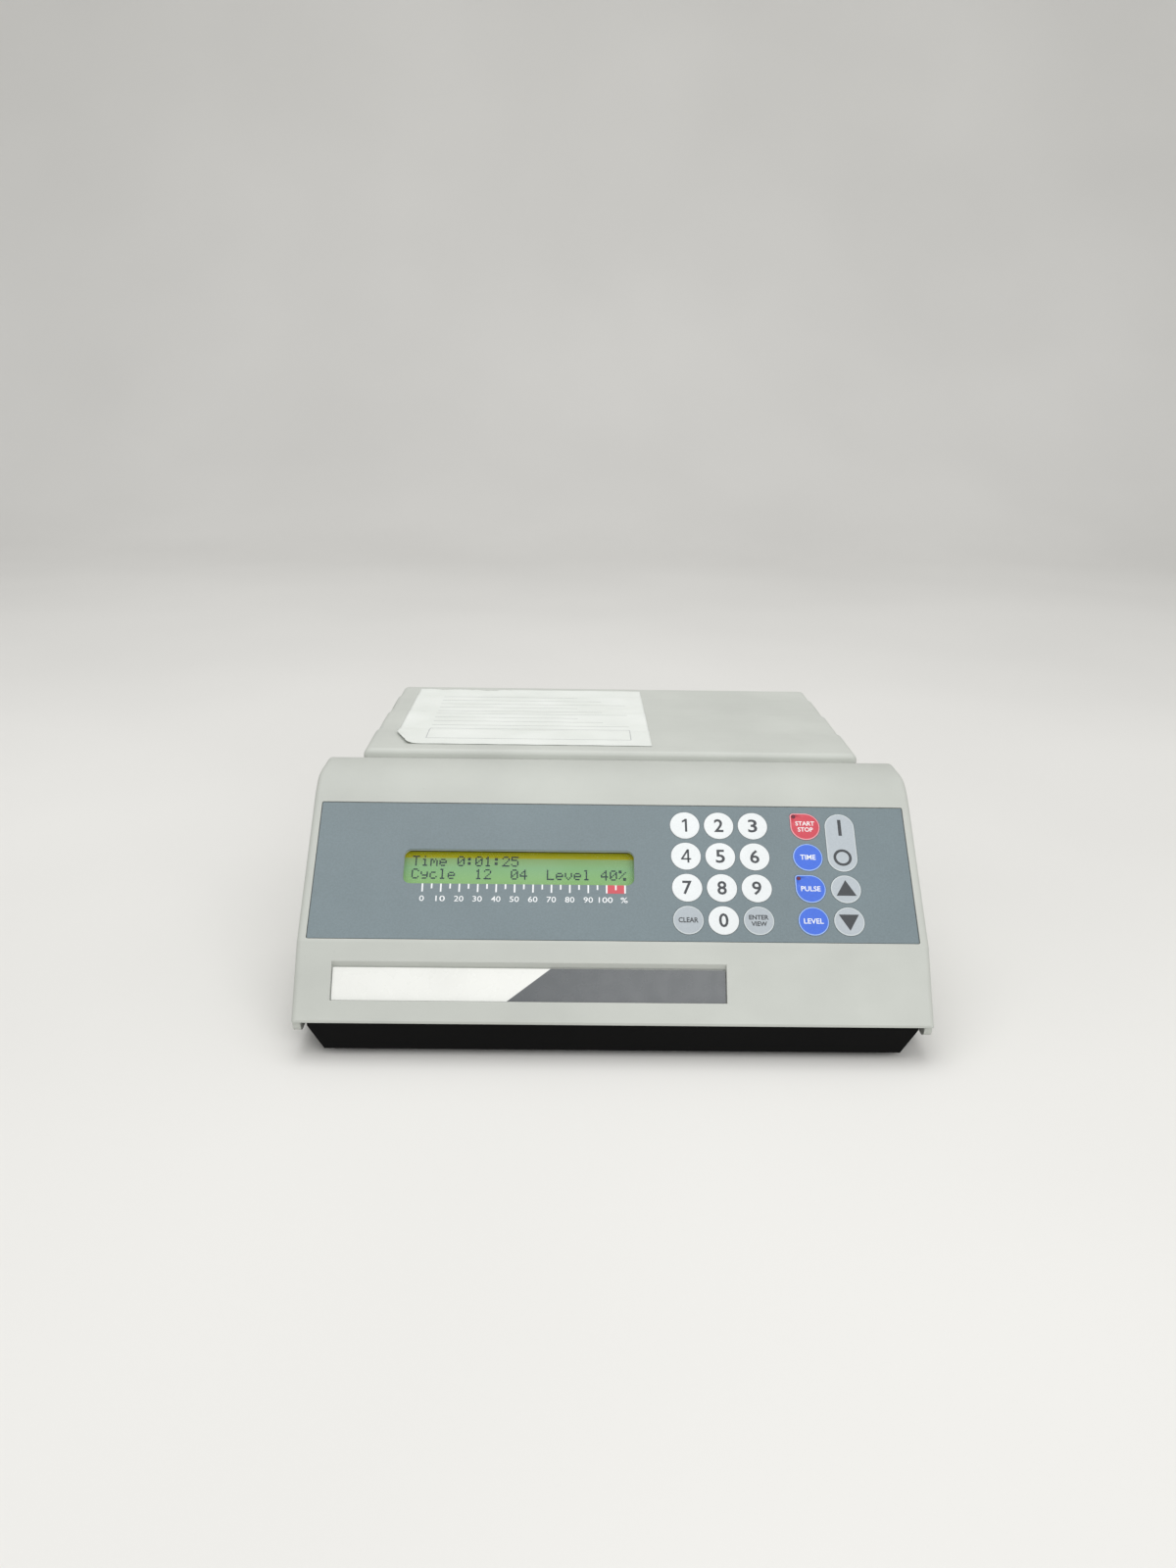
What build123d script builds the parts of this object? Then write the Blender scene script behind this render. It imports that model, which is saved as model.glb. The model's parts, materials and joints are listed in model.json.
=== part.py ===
from build123d import *
import os
from math import cos, radians, sin, sqrt

os.makedirs("parts", exist_ok=True)

# A low bench generator for a probe sonicator: a wide sloping console, a narrower terraced cover behind
# it, a dark tray with slanted sides underneath, and the sockets and the fan on a plate at the back.
# Millimetres. X runs across the front, Y from front to back, Z up; the feet stand on z = 0.

# Console profile, from the lip at the bottom of the front face to the back edge of the hood
console_width = 246.6
console_depth = 97.0
console_wall = 3.0
lip_height = 14.8
lip_land = 1.0
lower_slope = 57.0
lower_length = 30.2
panel_slope = 43.0
panel_length = 64.0
crest_radius = 32.0
skirt_height = 8.5
skirt_setback = 3.0
skirt_corner = 4.0
side_round = 2.2
brow_corner = 5.0
brow_lift = 0.5
passage_half_width = 99.0
passage_top = 84.0

# Rear cover
cover_front = 97.2
cover_back = 219.0
cover_top = 95.0
cover_half_width = 108.5
cover_wall = 2.5
cover_corner = 3.2
cover_nose = 2.3
terrace_ends = (130.0, 164.0, 198.0, cover_back)
terrace_step = 0.5
vent_slot_width = 2.2
vent_slot_pitch = 5.0
vent_slot_bottom = 34.0
vent_slot_top = 93.5
vent_slot_depth = 5.0

# Tray
tray_bottom = 2.8
tray_top = 14.3
tray_wall = 2.2
tray_front = 2.0
tray_joint = 93.5
tray_back = 214.5
tray_front_half_widths = (111.4, 117.6)
tray_rear_half_widths = (99.6, 106.2)
tray_bend_height = 12.6
case_boss_radius = 4.5
case_screw_seat = 6.5
foot_radius = 8.2
foot_boss_radius = 4.2
foot_boss_top = 11.0
foot_screw_seat = 1.3
floor_vent_x, floor_vent_y = -20.0, 55.0
floor_vent_length, floor_vent_width = 60.0, 3.0
floor_vent_pitch = 7.0
floor_vent_count = 5

# Rear plate and everything on it; the converter jack reaches furthest back
plate_outer = 214.5
plate_thickness = 2.0
plate_half_width = 103.9
plate_top = 90.4
plate_tongue_half_width = 96.0
plate_upper_screws = [(-101.0, 83.0), (101.0, 83.0)]
plate_lower_screws = [(-50.0, 9.5), (50.0, 9.5)]
plate_boss_length = 10.0
jack_reach = 13.5
overall_depth = plate_outer + jack_reach
fan_x, fan_z = -58.0, 52.0
inlet_x, inlet_z = 72.0, 42.0
fan_size, fan_depth = 60.0, 25.0
fan_bore = 28.2
fan_hole_spacing = 50.0
hub_radius = 13.8
rotor_shaft_radius = 1.47
blade_count = 7
wire_radius = 0.8
eyelet_depth = 1.5
guard_rings = (28.5, 22.0, 15.5, 9.0)
inlet_flange = (50.0, 41.0)
inlet_flange_depth = 3.0
inlet_body = (29.0, 36.0)
inlet_body_depth = 19.0
socket_drop = -6.5
socket_recess = (24.6, 16.8)
socket_depth = 18.0
drawer_rise = 11.2
drawer_body = (23.6, 8.8, 17.0)
fuse_radius, fuse_length = 2.6, 20.0
inlet_screw_spacing = 40.0
converter_x, converter_z = 30.0, 64.0
barrel_radius, barrel_bore, contact_radius = 4.8, 4.05, 1.1
footswitch_x, footswitch_z = 30.0, 34.0
bush_radius, bush_reach = 4.7, 4.5
jack_bore, jack_bore_depth = 3.25, 28.0
data_x, data_z = -6.0, 64.0
data_post_spacing = 25.0

# Case screws: posts under the console, then posts under the cover
console_posts = [(x, y) for y in (14.0, 86.0) for x in (-103.0, 103.0)]
cover_posts = [(x, y) for y in (106.0, 205.0) for x in (-94.0, 94.0)]
foot_places = [(x, 20.0) for x in (-90.0, 90.0)] + [(x, 190.0) for x in (-80.0, 80.0)]
post_radius = 4.0
post_foot = tray_top + 0.2
pilot_radius = 1.45
shank_radius, screw_head = 1.4, 2.9
screw_hole, screw_head_room = 1.7, 3.2
board_pilot, board_hole = 1.05, 1.3
pilot_depth = 14.0

# Keypad and display, measured up the panel from its lower crease
overlay_size = (238.7, 59.6)
overlay_corner = 0.4
overlay_centre = 31.3
recess_depth = 1.6
overlay_top = -0.2
overlay_sheet = 0.6
spacer_sheet = 0.45
circuit_sheet = 0.35
key_pitch = 13.9
key_radius = 6.05
key_gap = 0.15
key_emboss = 0.25
key_columns = (29.3, 43.2, 57.1)
function_columns = (78.7, 92.8)
key_rows = tuple(10.4 + key_pitch * row for row in range(4))
led_radius = 0.75
led_offset = 4.5
drop_tip_radius = 1.5
power_key_centre = 45.0
power_key_length = 26.0
dome_radius = 4.6
tail_drop = 8.0
display_centre = (-37.9, 32.6)
window_size = (92.4, 15.1)
window_corner = 3.0
pane_opening = (96.0, 18.0)
tail_place = (43.0, 3.6)
tail_width = 16.0
module_size = (118.0, 36.0)
module_holes = (111.0, 29.0)
module_post_height = 5.0

# Name plate pocket on the lower face
pocket_centre = (-32.7, 15.2)
pocket_size = (152.6, 15.0)
pocket_depth = 2.0
pocket_slant = 2.0
plate_sheet = 0.8

# Paper label on the cover
label_left, label_right = -97.0, 18.5
label_front, label_back = 106.0, 214.0
label_sheet = 0.2

# Boards and the heavy parts inside
board_size = (160.0, 100.0)
board_centre = (-5.0, 134.5)
board_bottom = 11.0
board_thickness = 1.6
board_boss_radius = 3.0
lcd_glass_size = (98.0, 24.0)
lcd_glass_depth, lcd_frame_sheet, lcd_frame_gap = 3.9, 0.5, 0.4
heat_sink_x, heat_sink_width, heat_sink_height = -56.0, 56.0, 34.0
heat_sink_front, heat_sink_length, heat_sink_fins = 98.0, 72.0, 9
capacitor_places = ((-8.0, 108.0), (-8.0, 136.0), (17.0, 108.0))
capacitor_radius, capacitor_height = 11.0, 36.0
transformer_x, transformer_y = 46.0, 142.0
transformer_core = (42.0, 20.0, 42.0)
choke_x, choke_y = 8.0, 160.0
mains_x, mains_y = 64.0, 50.0
mains_radius, mains_height = 29.0, 28.0


def back(distance):
    """The y of a point that lies this far behind the front lip."""
    return distance - overall_depth / 2


def save(part, name):
    part.label = name
    export_step(part, f"parts/{name}.step")


board_hole_places = [
    (board_centre[0] + x * (board_size[0] / 2 - 5), back(board_centre[1] + y * (board_size[1] / 2 - 5)))
    for x in (-1, 0, 1)
    for y in (-1, 1)
]

blade_places = [(inlet_x + x, inlet_z + socket_drop + z) for x, z in ((-7, -1.5), (0, 2.5), (7, -1.5))]

crease_y = lower_length * cos(radians(lower_slope))
crease_z = lip_height + lip_land + lower_length * sin(radians(lower_slope))
brow_y = crease_y + panel_length * cos(radians(panel_slope))
brow_z = crease_z + panel_length * sin(radians(panel_slope))
crest_y = brow_y + crest_radius * sin(radians(panel_slope))
crest_z = brow_z + crest_radius * (1 - cos(radians(panel_slope)))
hood_end_z = crest_z - crest_radius + sqrt(crest_radius**2 - (console_depth - crest_y) ** 2)

panel_plane = Plane(
    origin=(0, back(crease_y), crease_z),
    x_dir=(1, 0, 0),
    z_dir=(0, -sin(radians(panel_slope)), cos(radians(panel_slope))),
)
lower_plane = Plane(
    origin=(0, back(0), lip_height + lip_land),
    x_dir=(1, 0, 0),
    z_dir=(0, -sin(radians(lower_slope)), cos(radians(lower_slope))),
)


def wall_plane(distance):
    """An upright plane this far behind the lip, facing forwards, with X across and Z up."""
    return Plane.XZ.offset(-back(distance))


# Console: one moulded hood with side skirts, open underneath and behind
with BuildSketch(Plane.YZ) as console_outline:
    with BuildLine():
        Polyline(
            (back(console_depth), hood_end_z),
            (back(console_depth), skirt_height),
            (back(skirt_setback + skirt_corner), skirt_height),
        )
        RadiusArc(
            (back(skirt_setback + skirt_corner), skirt_height),
            (back(skirt_setback), skirt_height + skirt_corner),
            skirt_corner,
        )
        Polyline(
            (back(skirt_setback), skirt_height + skirt_corner),
            (back(skirt_setback), lip_height),
            (back(0), lip_height),
            (back(0), lip_height + lip_land),
            (back(crease_y), crease_z),
            (back(brow_y), brow_z),
        )
        ThreePointArc(
            (back(brow_y), brow_z),
            (back(crest_y), crest_z),
            (back(console_depth), hood_end_z),
        )
    make_face()

with BuildPart() as console_cavity:
    with BuildSketch(Plane.YZ):
        add(console_outline.sketch_local)
        offset(amount=-console_wall, mode=Mode.REPLACE)
    extrude(amount=console_width / 2 - console_wall, both=True)
    # everything under the lip is open between the side skirts, so that the tray shows there
    under_lip = console_depth - console_wall + 1
    with BuildSketch(Plane.XY.offset(lip_height)):
        with Locations((0, back(under_lip / 2 - 1))):
            Rectangle(console_width - 2 * console_wall, under_lip)
    extrude(amount=-lip_height)
    with BuildSketch(Plane.XY.offset(post_foot)):
        with Locations([(x, back(y)) for x, y in console_posts]):
            Circle(post_radius)
    extrude(amount=crest_z, mode=Mode.SUBTRACT)

with BuildPart() as front_console:
    extrude(console_outline.sketch, amount=console_width / 2, both=True)
    # the two upper corners are rounded when seen from the front
    with BuildSketch(wall_plane(console_depth + 1)):
        corner_x, corner_z = console_width / 2, crest_z + brow_lift
        with Locations((-corner_x, corner_z), (corner_x, corner_z)):
            Rectangle(2 * brow_corner, 2 * brow_corner)
        round_x, round_z = corner_x - brow_corner, corner_z - brow_corner
        with Locations((-round_x, round_z), (round_x, round_z)):
            Circle(brow_corner, mode=Mode.SUBTRACT)
    extrude(amount=console_depth + 2, mode=Mode.SUBTRACT)
    slope_edges = front_console.edges().filter_by(
        lambda edge: abs(edge.center().X) > console_width / 2 - 0.1
        and edge.center().Y < back(brow_y)
        and edge.center().Z > lip_height + lip_land + 0.1
    )
    fillet(slope_edges, radius=side_round)
    add(console_cavity.part, mode=Mode.SUBTRACT)
    # the way through to the cover, and room for the tray underneath
    with BuildSketch(wall_plane(console_depth + 1)):
        with Locations((0, (post_foot + passage_top) / 2)):
            Rectangle(2 * passage_half_width, passage_top - post_foot)
        with Locations((0, post_foot / 2)):
            Rectangle(2 * tray_rear_half_widths[1] + 4, post_foot)
    extrude(amount=console_wall + 2, mode=Mode.SUBTRACT)
    # seat of the keypad sheets, the display opening and the slot for the keypad's tail
    with BuildSketch(panel_plane):
        with Locations((0, overlay_centre)):
            RectangleRounded(overlay_size[0] + 0.6, overlay_size[1] + 0.6, overlay_corner + 0.3)
    extrude(amount=-recess_depth, mode=Mode.SUBTRACT)
    with BuildSketch(panel_plane):
        with Locations(display_centre):
            Rectangle(*pane_opening)
        with Locations(tail_place):
            Rectangle(tail_width + 2, 2.4)
    extrude(amount=-console_wall - 1, mode=Mode.SUBTRACT)
    # bosses that carry the display board
    with BuildSketch(panel_plane.offset(0.3 - console_wall)):
        with Locations(display_centre):
            with GridLocations(*module_holes, 2, 2):
                Circle(2.6)
    extrude(amount=-module_post_height - 0.3)
    with BuildSketch(panel_plane.offset(-console_wall - module_post_height)):
        with Locations(display_centre):
            with GridLocations(*module_holes, 2, 2):
                Circle(board_pilot)
    extrude(amount=module_post_height, mode=Mode.SUBTRACT)
    # pocket of the name plate, with a slanting upper wall
    with BuildSketch(lower_plane):
        with Locations(pocket_centre):
            Rectangle(*pocket_size)
    with BuildSketch(lower_plane.offset(-pocket_depth)):
        with Locations((pocket_centre[0], pocket_centre[1] - pocket_slant / 2)):
            Rectangle(pocket_size[0] - 0.4, pocket_size[1] - pocket_slant)
    loft(mode=Mode.SUBTRACT)
    # pilot holes of the case screws
    with BuildSketch(Plane.XY.offset(post_foot)):
        with Locations([(x, back(y)) for x, y in console_posts]):
            Circle(pilot_radius)
    extrude(amount=pilot_depth, mode=Mode.SUBTRACT)
save(front_console.part, "front_console")


def cover_section(distance, half_width, top, corner):
    """Cross-section of one length of the cover: upright sides and round shoulders."""
    with BuildSketch(wall_plane(distance)) as section:
        with Locations((0, (post_foot + top) / 2)):
            Rectangle(2 * half_width, top - post_foot)
        fillet(section.vertices().group_by(Axis.Y)[-1], corner)
    return section.sketch


# Rear cover: four lengths, each a little lower and narrower than the one in front of it
terrace_starts = (cover_front,) + terrace_ends[:-1]
cavity_starts = (cover_front + cover_wall,) + tuple(start - cover_wall for start in terrace_starts[1:])
cavity_ends = cavity_starts[1:] + (cover_back + 1,)

with BuildPart() as cover_cavity:
    for index, (start, end) in enumerate(zip(cavity_starts, cavity_ends)):
        shrink = index * terrace_step + cover_wall
        section = cover_section(start, cover_half_width - shrink, cover_top - shrink, cover_corner - 1.5)
        extrude(section, amount=-(end - start))
    with BuildSketch(Plane.XY.offset(post_foot)):
        with Locations([(x, back(y)) for x, y in cover_posts]):
            Circle(post_radius)
    extrude(amount=cover_top, mode=Mode.SUBTRACT)

with BuildPart() as rear_cover:
    for index, (start, end) in enumerate(zip(terrace_starts, terrace_ends)):
        shrink = index * terrace_step
        section = cover_section(start, cover_half_width - shrink, cover_top - shrink, cover_corner)
        extrude(section, amount=-(end - start))
    front_rim = rear_cover.faces().sort_by(Axis.Y)[0].edges().filter_by(
        lambda edge: edge.center().Z > post_foot + 1
    )
    fillet(front_rim, cover_nose)
    add(cover_cavity.part, mode=Mode.SUBTRACT)
    with BuildSketch(wall_plane(cover_front - 1)):
        with Locations((0, (post_foot + passage_top) / 2)):
            Rectangle(2 * passage_half_width, passage_top - post_foot)
    extrude(amount=-cover_wall - 2, mode=Mode.SUBTRACT)
    # three vent slots each side in the middle of each length, running up into the shoulder
    for side in (-1, 1):
        beside = (side * (cover_half_width + 1), 0, 0)
        with BuildSketch(Plane(origin=beside, x_dir=(0, 1, 0), z_dir=(side, 0, 0))):
            for start, end in list(zip(terrace_starts, terrace_ends))[:3]:
                across = back((start + end) / 2)
                up = side * (vent_slot_bottom + vent_slot_top) / 2
                with Locations((across, up)):
                    with GridLocations(vent_slot_pitch, 0, 3, 1):
                        Rectangle(vent_slot_width, vent_slot_top - vent_slot_bottom)
        extrude(amount=-vent_slot_depth, mode=Mode.SUBTRACT)
    # bosses behind the rear plate, for its two upper screws
    with BuildSketch(wall_plane(plate_outer - plate_thickness)):
        with Locations(plate_upper_screws):
            Circle(post_radius)
    extrude(amount=plate_boss_length)
    with BuildSketch(wall_plane(plate_outer - plate_thickness)):
        with Locations(plate_upper_screws):
            Circle(pilot_radius)
    extrude(amount=plate_boss_length - 2, mode=Mode.SUBTRACT)
    with BuildSketch(Plane.XY.offset(post_foot)):
        with Locations([(x, back(y)) for x, y in cover_posts]):
            Circle(pilot_radius)
    extrude(amount=pilot_depth, mode=Mode.SUBTRACT)
save(rear_cover.part, "rear_cover")


def tray_section(distance, half_widths, shrink=0.0, rise=0.0):
    """Cross-section of the tray: a flat floor, sides that lean outwards and then stand upright."""
    floor_half, side_half = (half - shrink for half in half_widths)
    with BuildSketch(wall_plane(distance)) as section:
        with BuildLine():
            Polyline(
                (-floor_half, tray_bottom + shrink),
                (floor_half, tray_bottom + shrink),
                (side_half, tray_bend_height),
                (side_half, tray_top + rise),
                (-side_half, tray_top + rise),
                (-side_half, tray_bend_height),
                close=True,
            )
        make_face()
    return section.sketch


# Tray: the bottom of the case, with bosses for the case screws, the feet, the board and the rear plate
tray_floor = tray_bottom + tray_wall
case_screw_places = [(x, back(y)) for x, y in console_posts + cover_posts]
foot_centres = [(x, back(y)) for x, y in foot_places]

with BuildPart() as base_tray:
    extrude(tray_section(tray_front, tray_front_half_widths), amount=-(tray_joint - tray_front))
    extrude(tray_section(tray_joint, tray_rear_half_widths), amount=-(tray_back - tray_joint))
    front_room = tray_section(tray_front + tray_wall, tray_front_half_widths, tray_wall, 1)
    extrude(front_room, amount=-(tray_joint - tray_front - 2 * tray_wall), mode=Mode.SUBTRACT)
    rear_room = tray_section(tray_joint - tray_wall, tray_rear_half_widths, tray_wall, 1)
    extrude(rear_room, amount=-(tray_back - tray_joint + tray_wall + 1), mode=Mode.SUBTRACT)
    for places, radius, top in (
        (case_screw_places, case_boss_radius, post_foot),
        (foot_centres, foot_boss_radius, foot_boss_top),
        (board_hole_places, board_boss_radius, board_bottom),
    ):
        with BuildSketch(Plane.XY.offset(tray_floor)):
            with Locations(places):
                Circle(radius)
        extrude(amount=top - tray_floor)
    with BuildSketch(wall_plane(plate_outer - plate_thickness)):
        with Locations(plate_lower_screws):
            Rectangle(9, 2 * (plate_lower_screws[0][1] - tray_floor))
    extrude(amount=plate_boss_length)
    with BuildSketch(Plane.XY.offset(tray_bottom)):
        with Locations(case_screw_places):
            Circle(screw_hole)
    extrude(amount=post_foot, mode=Mode.SUBTRACT)
    with BuildSketch(Plane.XY.offset(tray_bottom)):
        with Locations(case_screw_places):
            Circle(screw_head_room)
    extrude(amount=case_screw_seat - tray_bottom, mode=Mode.SUBTRACT)
    with BuildSketch(Plane.XY.offset(tray_bottom)):
        with Locations(foot_centres):
            Circle(1.5)
    extrude(amount=foot_boss_top - tray_bottom - 1, mode=Mode.SUBTRACT)
    with BuildSketch(Plane.XY.offset(board_bottom - 5)):
        with Locations(board_hole_places):
            Circle(board_pilot)
    extrude(amount=5, mode=Mode.SUBTRACT)
    with BuildSketch(wall_plane(plate_outer - plate_thickness)):
        with Locations(plate_lower_screws):
            Circle(pilot_radius)
    extrude(amount=plate_boss_length - 2, mode=Mode.SUBTRACT)
    # air slots in the floor
    with BuildSketch(Plane.XY.offset(tray_bottom - 1)):
        with Locations((floor_vent_x, back(floor_vent_y))):
            with GridLocations(0, floor_vent_pitch, 1, floor_vent_count):
                SlotOverall(floor_vent_length, floor_vent_width)
    extrude(amount=tray_wall + 2, mode=Mode.SUBTRACT)
save(base_tray.part, "base_tray")

# Feet, and the screws that go up through them
with BuildPart() as rubber_feet:
    with BuildSketch(Plane.XY):
        with Locations(foot_centres):
            Circle(foot_radius)
    extrude(amount=tray_bottom)
    chamfer(rubber_feet.faces().group_by(Axis.Z)[0].edges(), 0.5)
    with BuildSketch(Plane.XY):
        with Locations(foot_centres):
            Circle(screw_head_room)
    extrude(amount=foot_screw_seat, mode=Mode.SUBTRACT)
    with BuildSketch(Plane.XY):
        with Locations(foot_centres):
            Circle(screw_hole)
    extrude(amount=tray_bottom, mode=Mode.SUBTRACT)
save(rubber_feet.part, "rubber_feet")


def screw_group(plane, places, head_radius, head_height, shank_radius, shank_length):
    """Cheese-head screws: heads stand on the plane, plain shanks run back through it."""
    with BuildPart() as group:
        with BuildSketch(plane):
            with Locations(places):
                Circle(head_radius)
        extrude(amount=head_height)
        with BuildSketch(plane):
            with Locations(places):
                Circle(shank_radius)
        extrude(amount=-shank_length)
    return group.part


def underside(height):
    """A level plane facing down. Its local y runs forwards, so places on it take their y negated."""
    return Plane(origin=(0, 0, height), x_dir=(1, 0, 0), z_dir=(0, 0, -1))


foot_screw_places = [(x, -y) for x, y in foot_centres]
foot_screws = screw_group(underside(foot_screw_seat), foot_screw_places, 3.0, 0.9, shank_radius, 8.0)
save(foot_screws, "foot_screws")
case_screws = screw_group(
    underside(case_screw_seat), [(x, -y) for x, y in case_screw_places], screw_head, 2.0, shank_radius, 20.0
)
save(case_screws, "case_screws")

# Rear plate: stands on the tray floor and closes the back of the cover
with BuildPart() as rear_plate:
    with BuildSketch(wall_plane(plate_outer)) as plate_outline:
        with Locations((0, (post_foot + plate_top) / 2)):
            Rectangle(2 * plate_half_width, plate_top - post_foot)
        fillet(plate_outline.vertices().group_by(Axis.Y)[-1], 2.8)
        with Locations((0, (tray_floor + post_foot) / 2)):
            Rectangle(2 * plate_tongue_half_width, post_foot - tray_floor)
        with Locations((fan_x, fan_z)):
            Circle(fan_bore, mode=Mode.SUBTRACT)
            with GridLocations(fan_hole_spacing, fan_hole_spacing, 2, 2):
                Circle(2.2, mode=Mode.SUBTRACT)
        with Locations((inlet_x, inlet_z)):
            Rectangle(inlet_body[0] + 0.4, inlet_body[1] + 0.4, mode=Mode.SUBTRACT)
        with Locations((converter_x, converter_z)):
            Circle(barrel_radius + 0.2, mode=Mode.SUBTRACT)
        with Locations((footswitch_x, footswitch_z)):
            Circle(bush_radius + 0.1, mode=Mode.SUBTRACT)
        with Locations((data_x, data_z)):
            Rectangle(20, 11, mode=Mode.SUBTRACT)
            with GridLocations(data_post_spacing, 0, 2, 1):
                Circle(screw_hole, mode=Mode.SUBTRACT)
        with Locations(plate_upper_screws + plate_lower_screws):
            Circle(screw_hole, mode=Mode.SUBTRACT)
        with Locations((inlet_x, inlet_z + socket_drop)):
            with GridLocations(inlet_screw_spacing, 0, 2, 1):
                Circle(screw_hole, mode=Mode.SUBTRACT)
    extrude(amount=plate_thickness)
save(rear_plate.part, "rear_plate")

rearward = Plane(origin=(0, back(plate_outer), 0), x_dir=(-1, 0, 0), z_dir=(0, 1, 0))


def mirrored(places):
    """Places on the rearward plane, whose local x runs the other way."""
    return [(-x, z) for x, z in places]


plate_screw_places = mirrored(plate_upper_screws + plate_lower_screws)
inlet_screw_places = mirrored(
    [(inlet_x + x * inlet_screw_spacing / 2, inlet_z + socket_drop) for x in (-1, 1)]
)
with BuildPart() as plate_screws:
    add(screw_group(rearward, plate_screw_places, screw_head, 1.9, shank_radius, 9.0))
    flange_face = rearward.offset(inlet_flange_depth)
    add(screw_group(flange_face, inlet_screw_places, screw_head, 1.9, shank_radius, 7.0))
save(plate_screws.part, "plate_screws")

# Fan: square frame with its motor mount, turning rotor, wire guard and four screws
fan_plane = wall_plane(plate_outer - plate_thickness - fan_depth)
mount_depth = fan_depth - 3.5

with BuildPart() as fan_frame:
    with BuildSketch(fan_plane):
        with Locations((fan_x, fan_z)):
            RectangleRounded(fan_size, fan_size, 3)
            Circle(fan_bore, mode=Mode.SUBTRACT)
            with GridLocations(fan_hole_spacing, fan_hole_spacing, 2, 2):
                Circle(2.15, mode=Mode.SUBTRACT)
    extrude(amount=-fan_depth)
    # waist between the two flanges
    with BuildSketch(fan_plane.offset(-3.5)):
        with Locations((fan_x, fan_z)):
            Rectangle(fan_size + 2, fan_size + 2)
            RectangleRounded(fan_size - 1.4, fan_size - 1.4, 12, mode=Mode.SUBTRACT)
    extrude(amount=-(fan_depth - 7), mode=Mode.SUBTRACT)
    with BuildSketch(fan_plane.offset(-mount_depth)):
        with Locations((fan_x, fan_z)):
            Circle(14.5)
            with PolarLocations(21.3, 4, start_angle=45):
                Rectangle(15, 3.2)
    extrude(amount=-2.0)
    with BuildSketch(fan_plane.offset(-mount_depth)):
        with Locations((fan_x, fan_z)):
            Circle(3.4)
    extrude(amount=11)
    with BuildSketch(fan_plane.offset(-fan_depth)):
        with Locations((fan_x, fan_z)):
            Circle(rotor_shaft_radius + 0.08)
    extrude(amount=fan_depth, mode=Mode.SUBTRACT)
save(fan_frame.part, "fan_frame")

with BuildPart() as fan_rotor:
    with BuildSketch(fan_plane.offset(-2.5)):
        with Locations((fan_x, fan_z)):
            Circle(hub_radius)
    extrude(amount=-17.5)
    fillet(fan_rotor.faces().sort_by(Axis.Y)[0].edges(), 1.2)
    with BuildSketch(fan_plane.offset(-4.2)):
        with Locations((fan_x, fan_z)):
            Circle(hub_radius - 1.5)
    extrude(amount=-16, mode=Mode.SUBTRACT)
    with BuildSketch(fan_plane.offset(-4.0)):
        with Locations((fan_x, fan_z)):
            Circle(rotor_shaft_radius)
    extrude(amount=-18.5)
    # one blade leans more at its root than at its tip; the others are turned copies
    blade_middle = back(plate_outer - plate_thickness - fan_depth + 10.5)
    blade_inner, blade_outer = hub_radius - 0.6, fan_bore - 2.0
    for radius, lean, chord in ((blade_inner, 42, 13.0), (blade_outer, 28, 17.0)):
        station = (fan_x + radius, blade_middle, fan_z)
        with BuildSketch(Plane(origin=station, x_dir=(0, 1, 0), z_dir=(1, 0, 0))):
            SlotOverall(chord, 1.3, rotation=90 - lean)
    blade = loft(mode=Mode.PRIVATE)
    spin_axis = Axis((fan_x, 0, fan_z), (0, 1, 0))
    add([blade.rotate(spin_axis, 360 / blade_count * turn) for turn in range(blade_count)])
save(fan_rotor.part, "fan_rotor")

half_spacing = fan_hole_spacing / 2
eyelets = [(-fan_x + x * half_spacing, fan_z + z * half_spacing) for x in (-1, 1) for z in (-1, 1)]
with BuildPart() as fan_guard:
    with BuildSketch(rearward):
        with Locations(eyelets):
            Circle(4.0)
            Circle(2.2, mode=Mode.SUBTRACT)
    extrude(amount=eyelet_depth)
    spoke_length = fan_hole_spacing * sqrt(2) - 6.8
    for lean in (-45, 45):
        along = (cos(radians(lean)), 0, sin(radians(lean)))
        with Locations(Plane(origin=(fan_x, back(plate_outer) + 0.9, fan_z), z_dir=along)):
            Cylinder(wire_radius, spoke_length)
    with BuildSketch(rearward.offset(eyelet_depth)):
        with Locations((-fan_x, fan_z)):
            for radius in guard_rings:
                Circle(radius + wire_radius)
                Circle(radius - wire_radius, mode=Mode.SUBTRACT)
    extrude(amount=2 * wire_radius)
save(fan_guard.part, "fan_guard")

fan_screws = screw_group(rearward.offset(eyelet_depth), eyelets, 3.2, 2.0, 1.9, 10.0)
save(fan_screws, "fan_screws")

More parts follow.
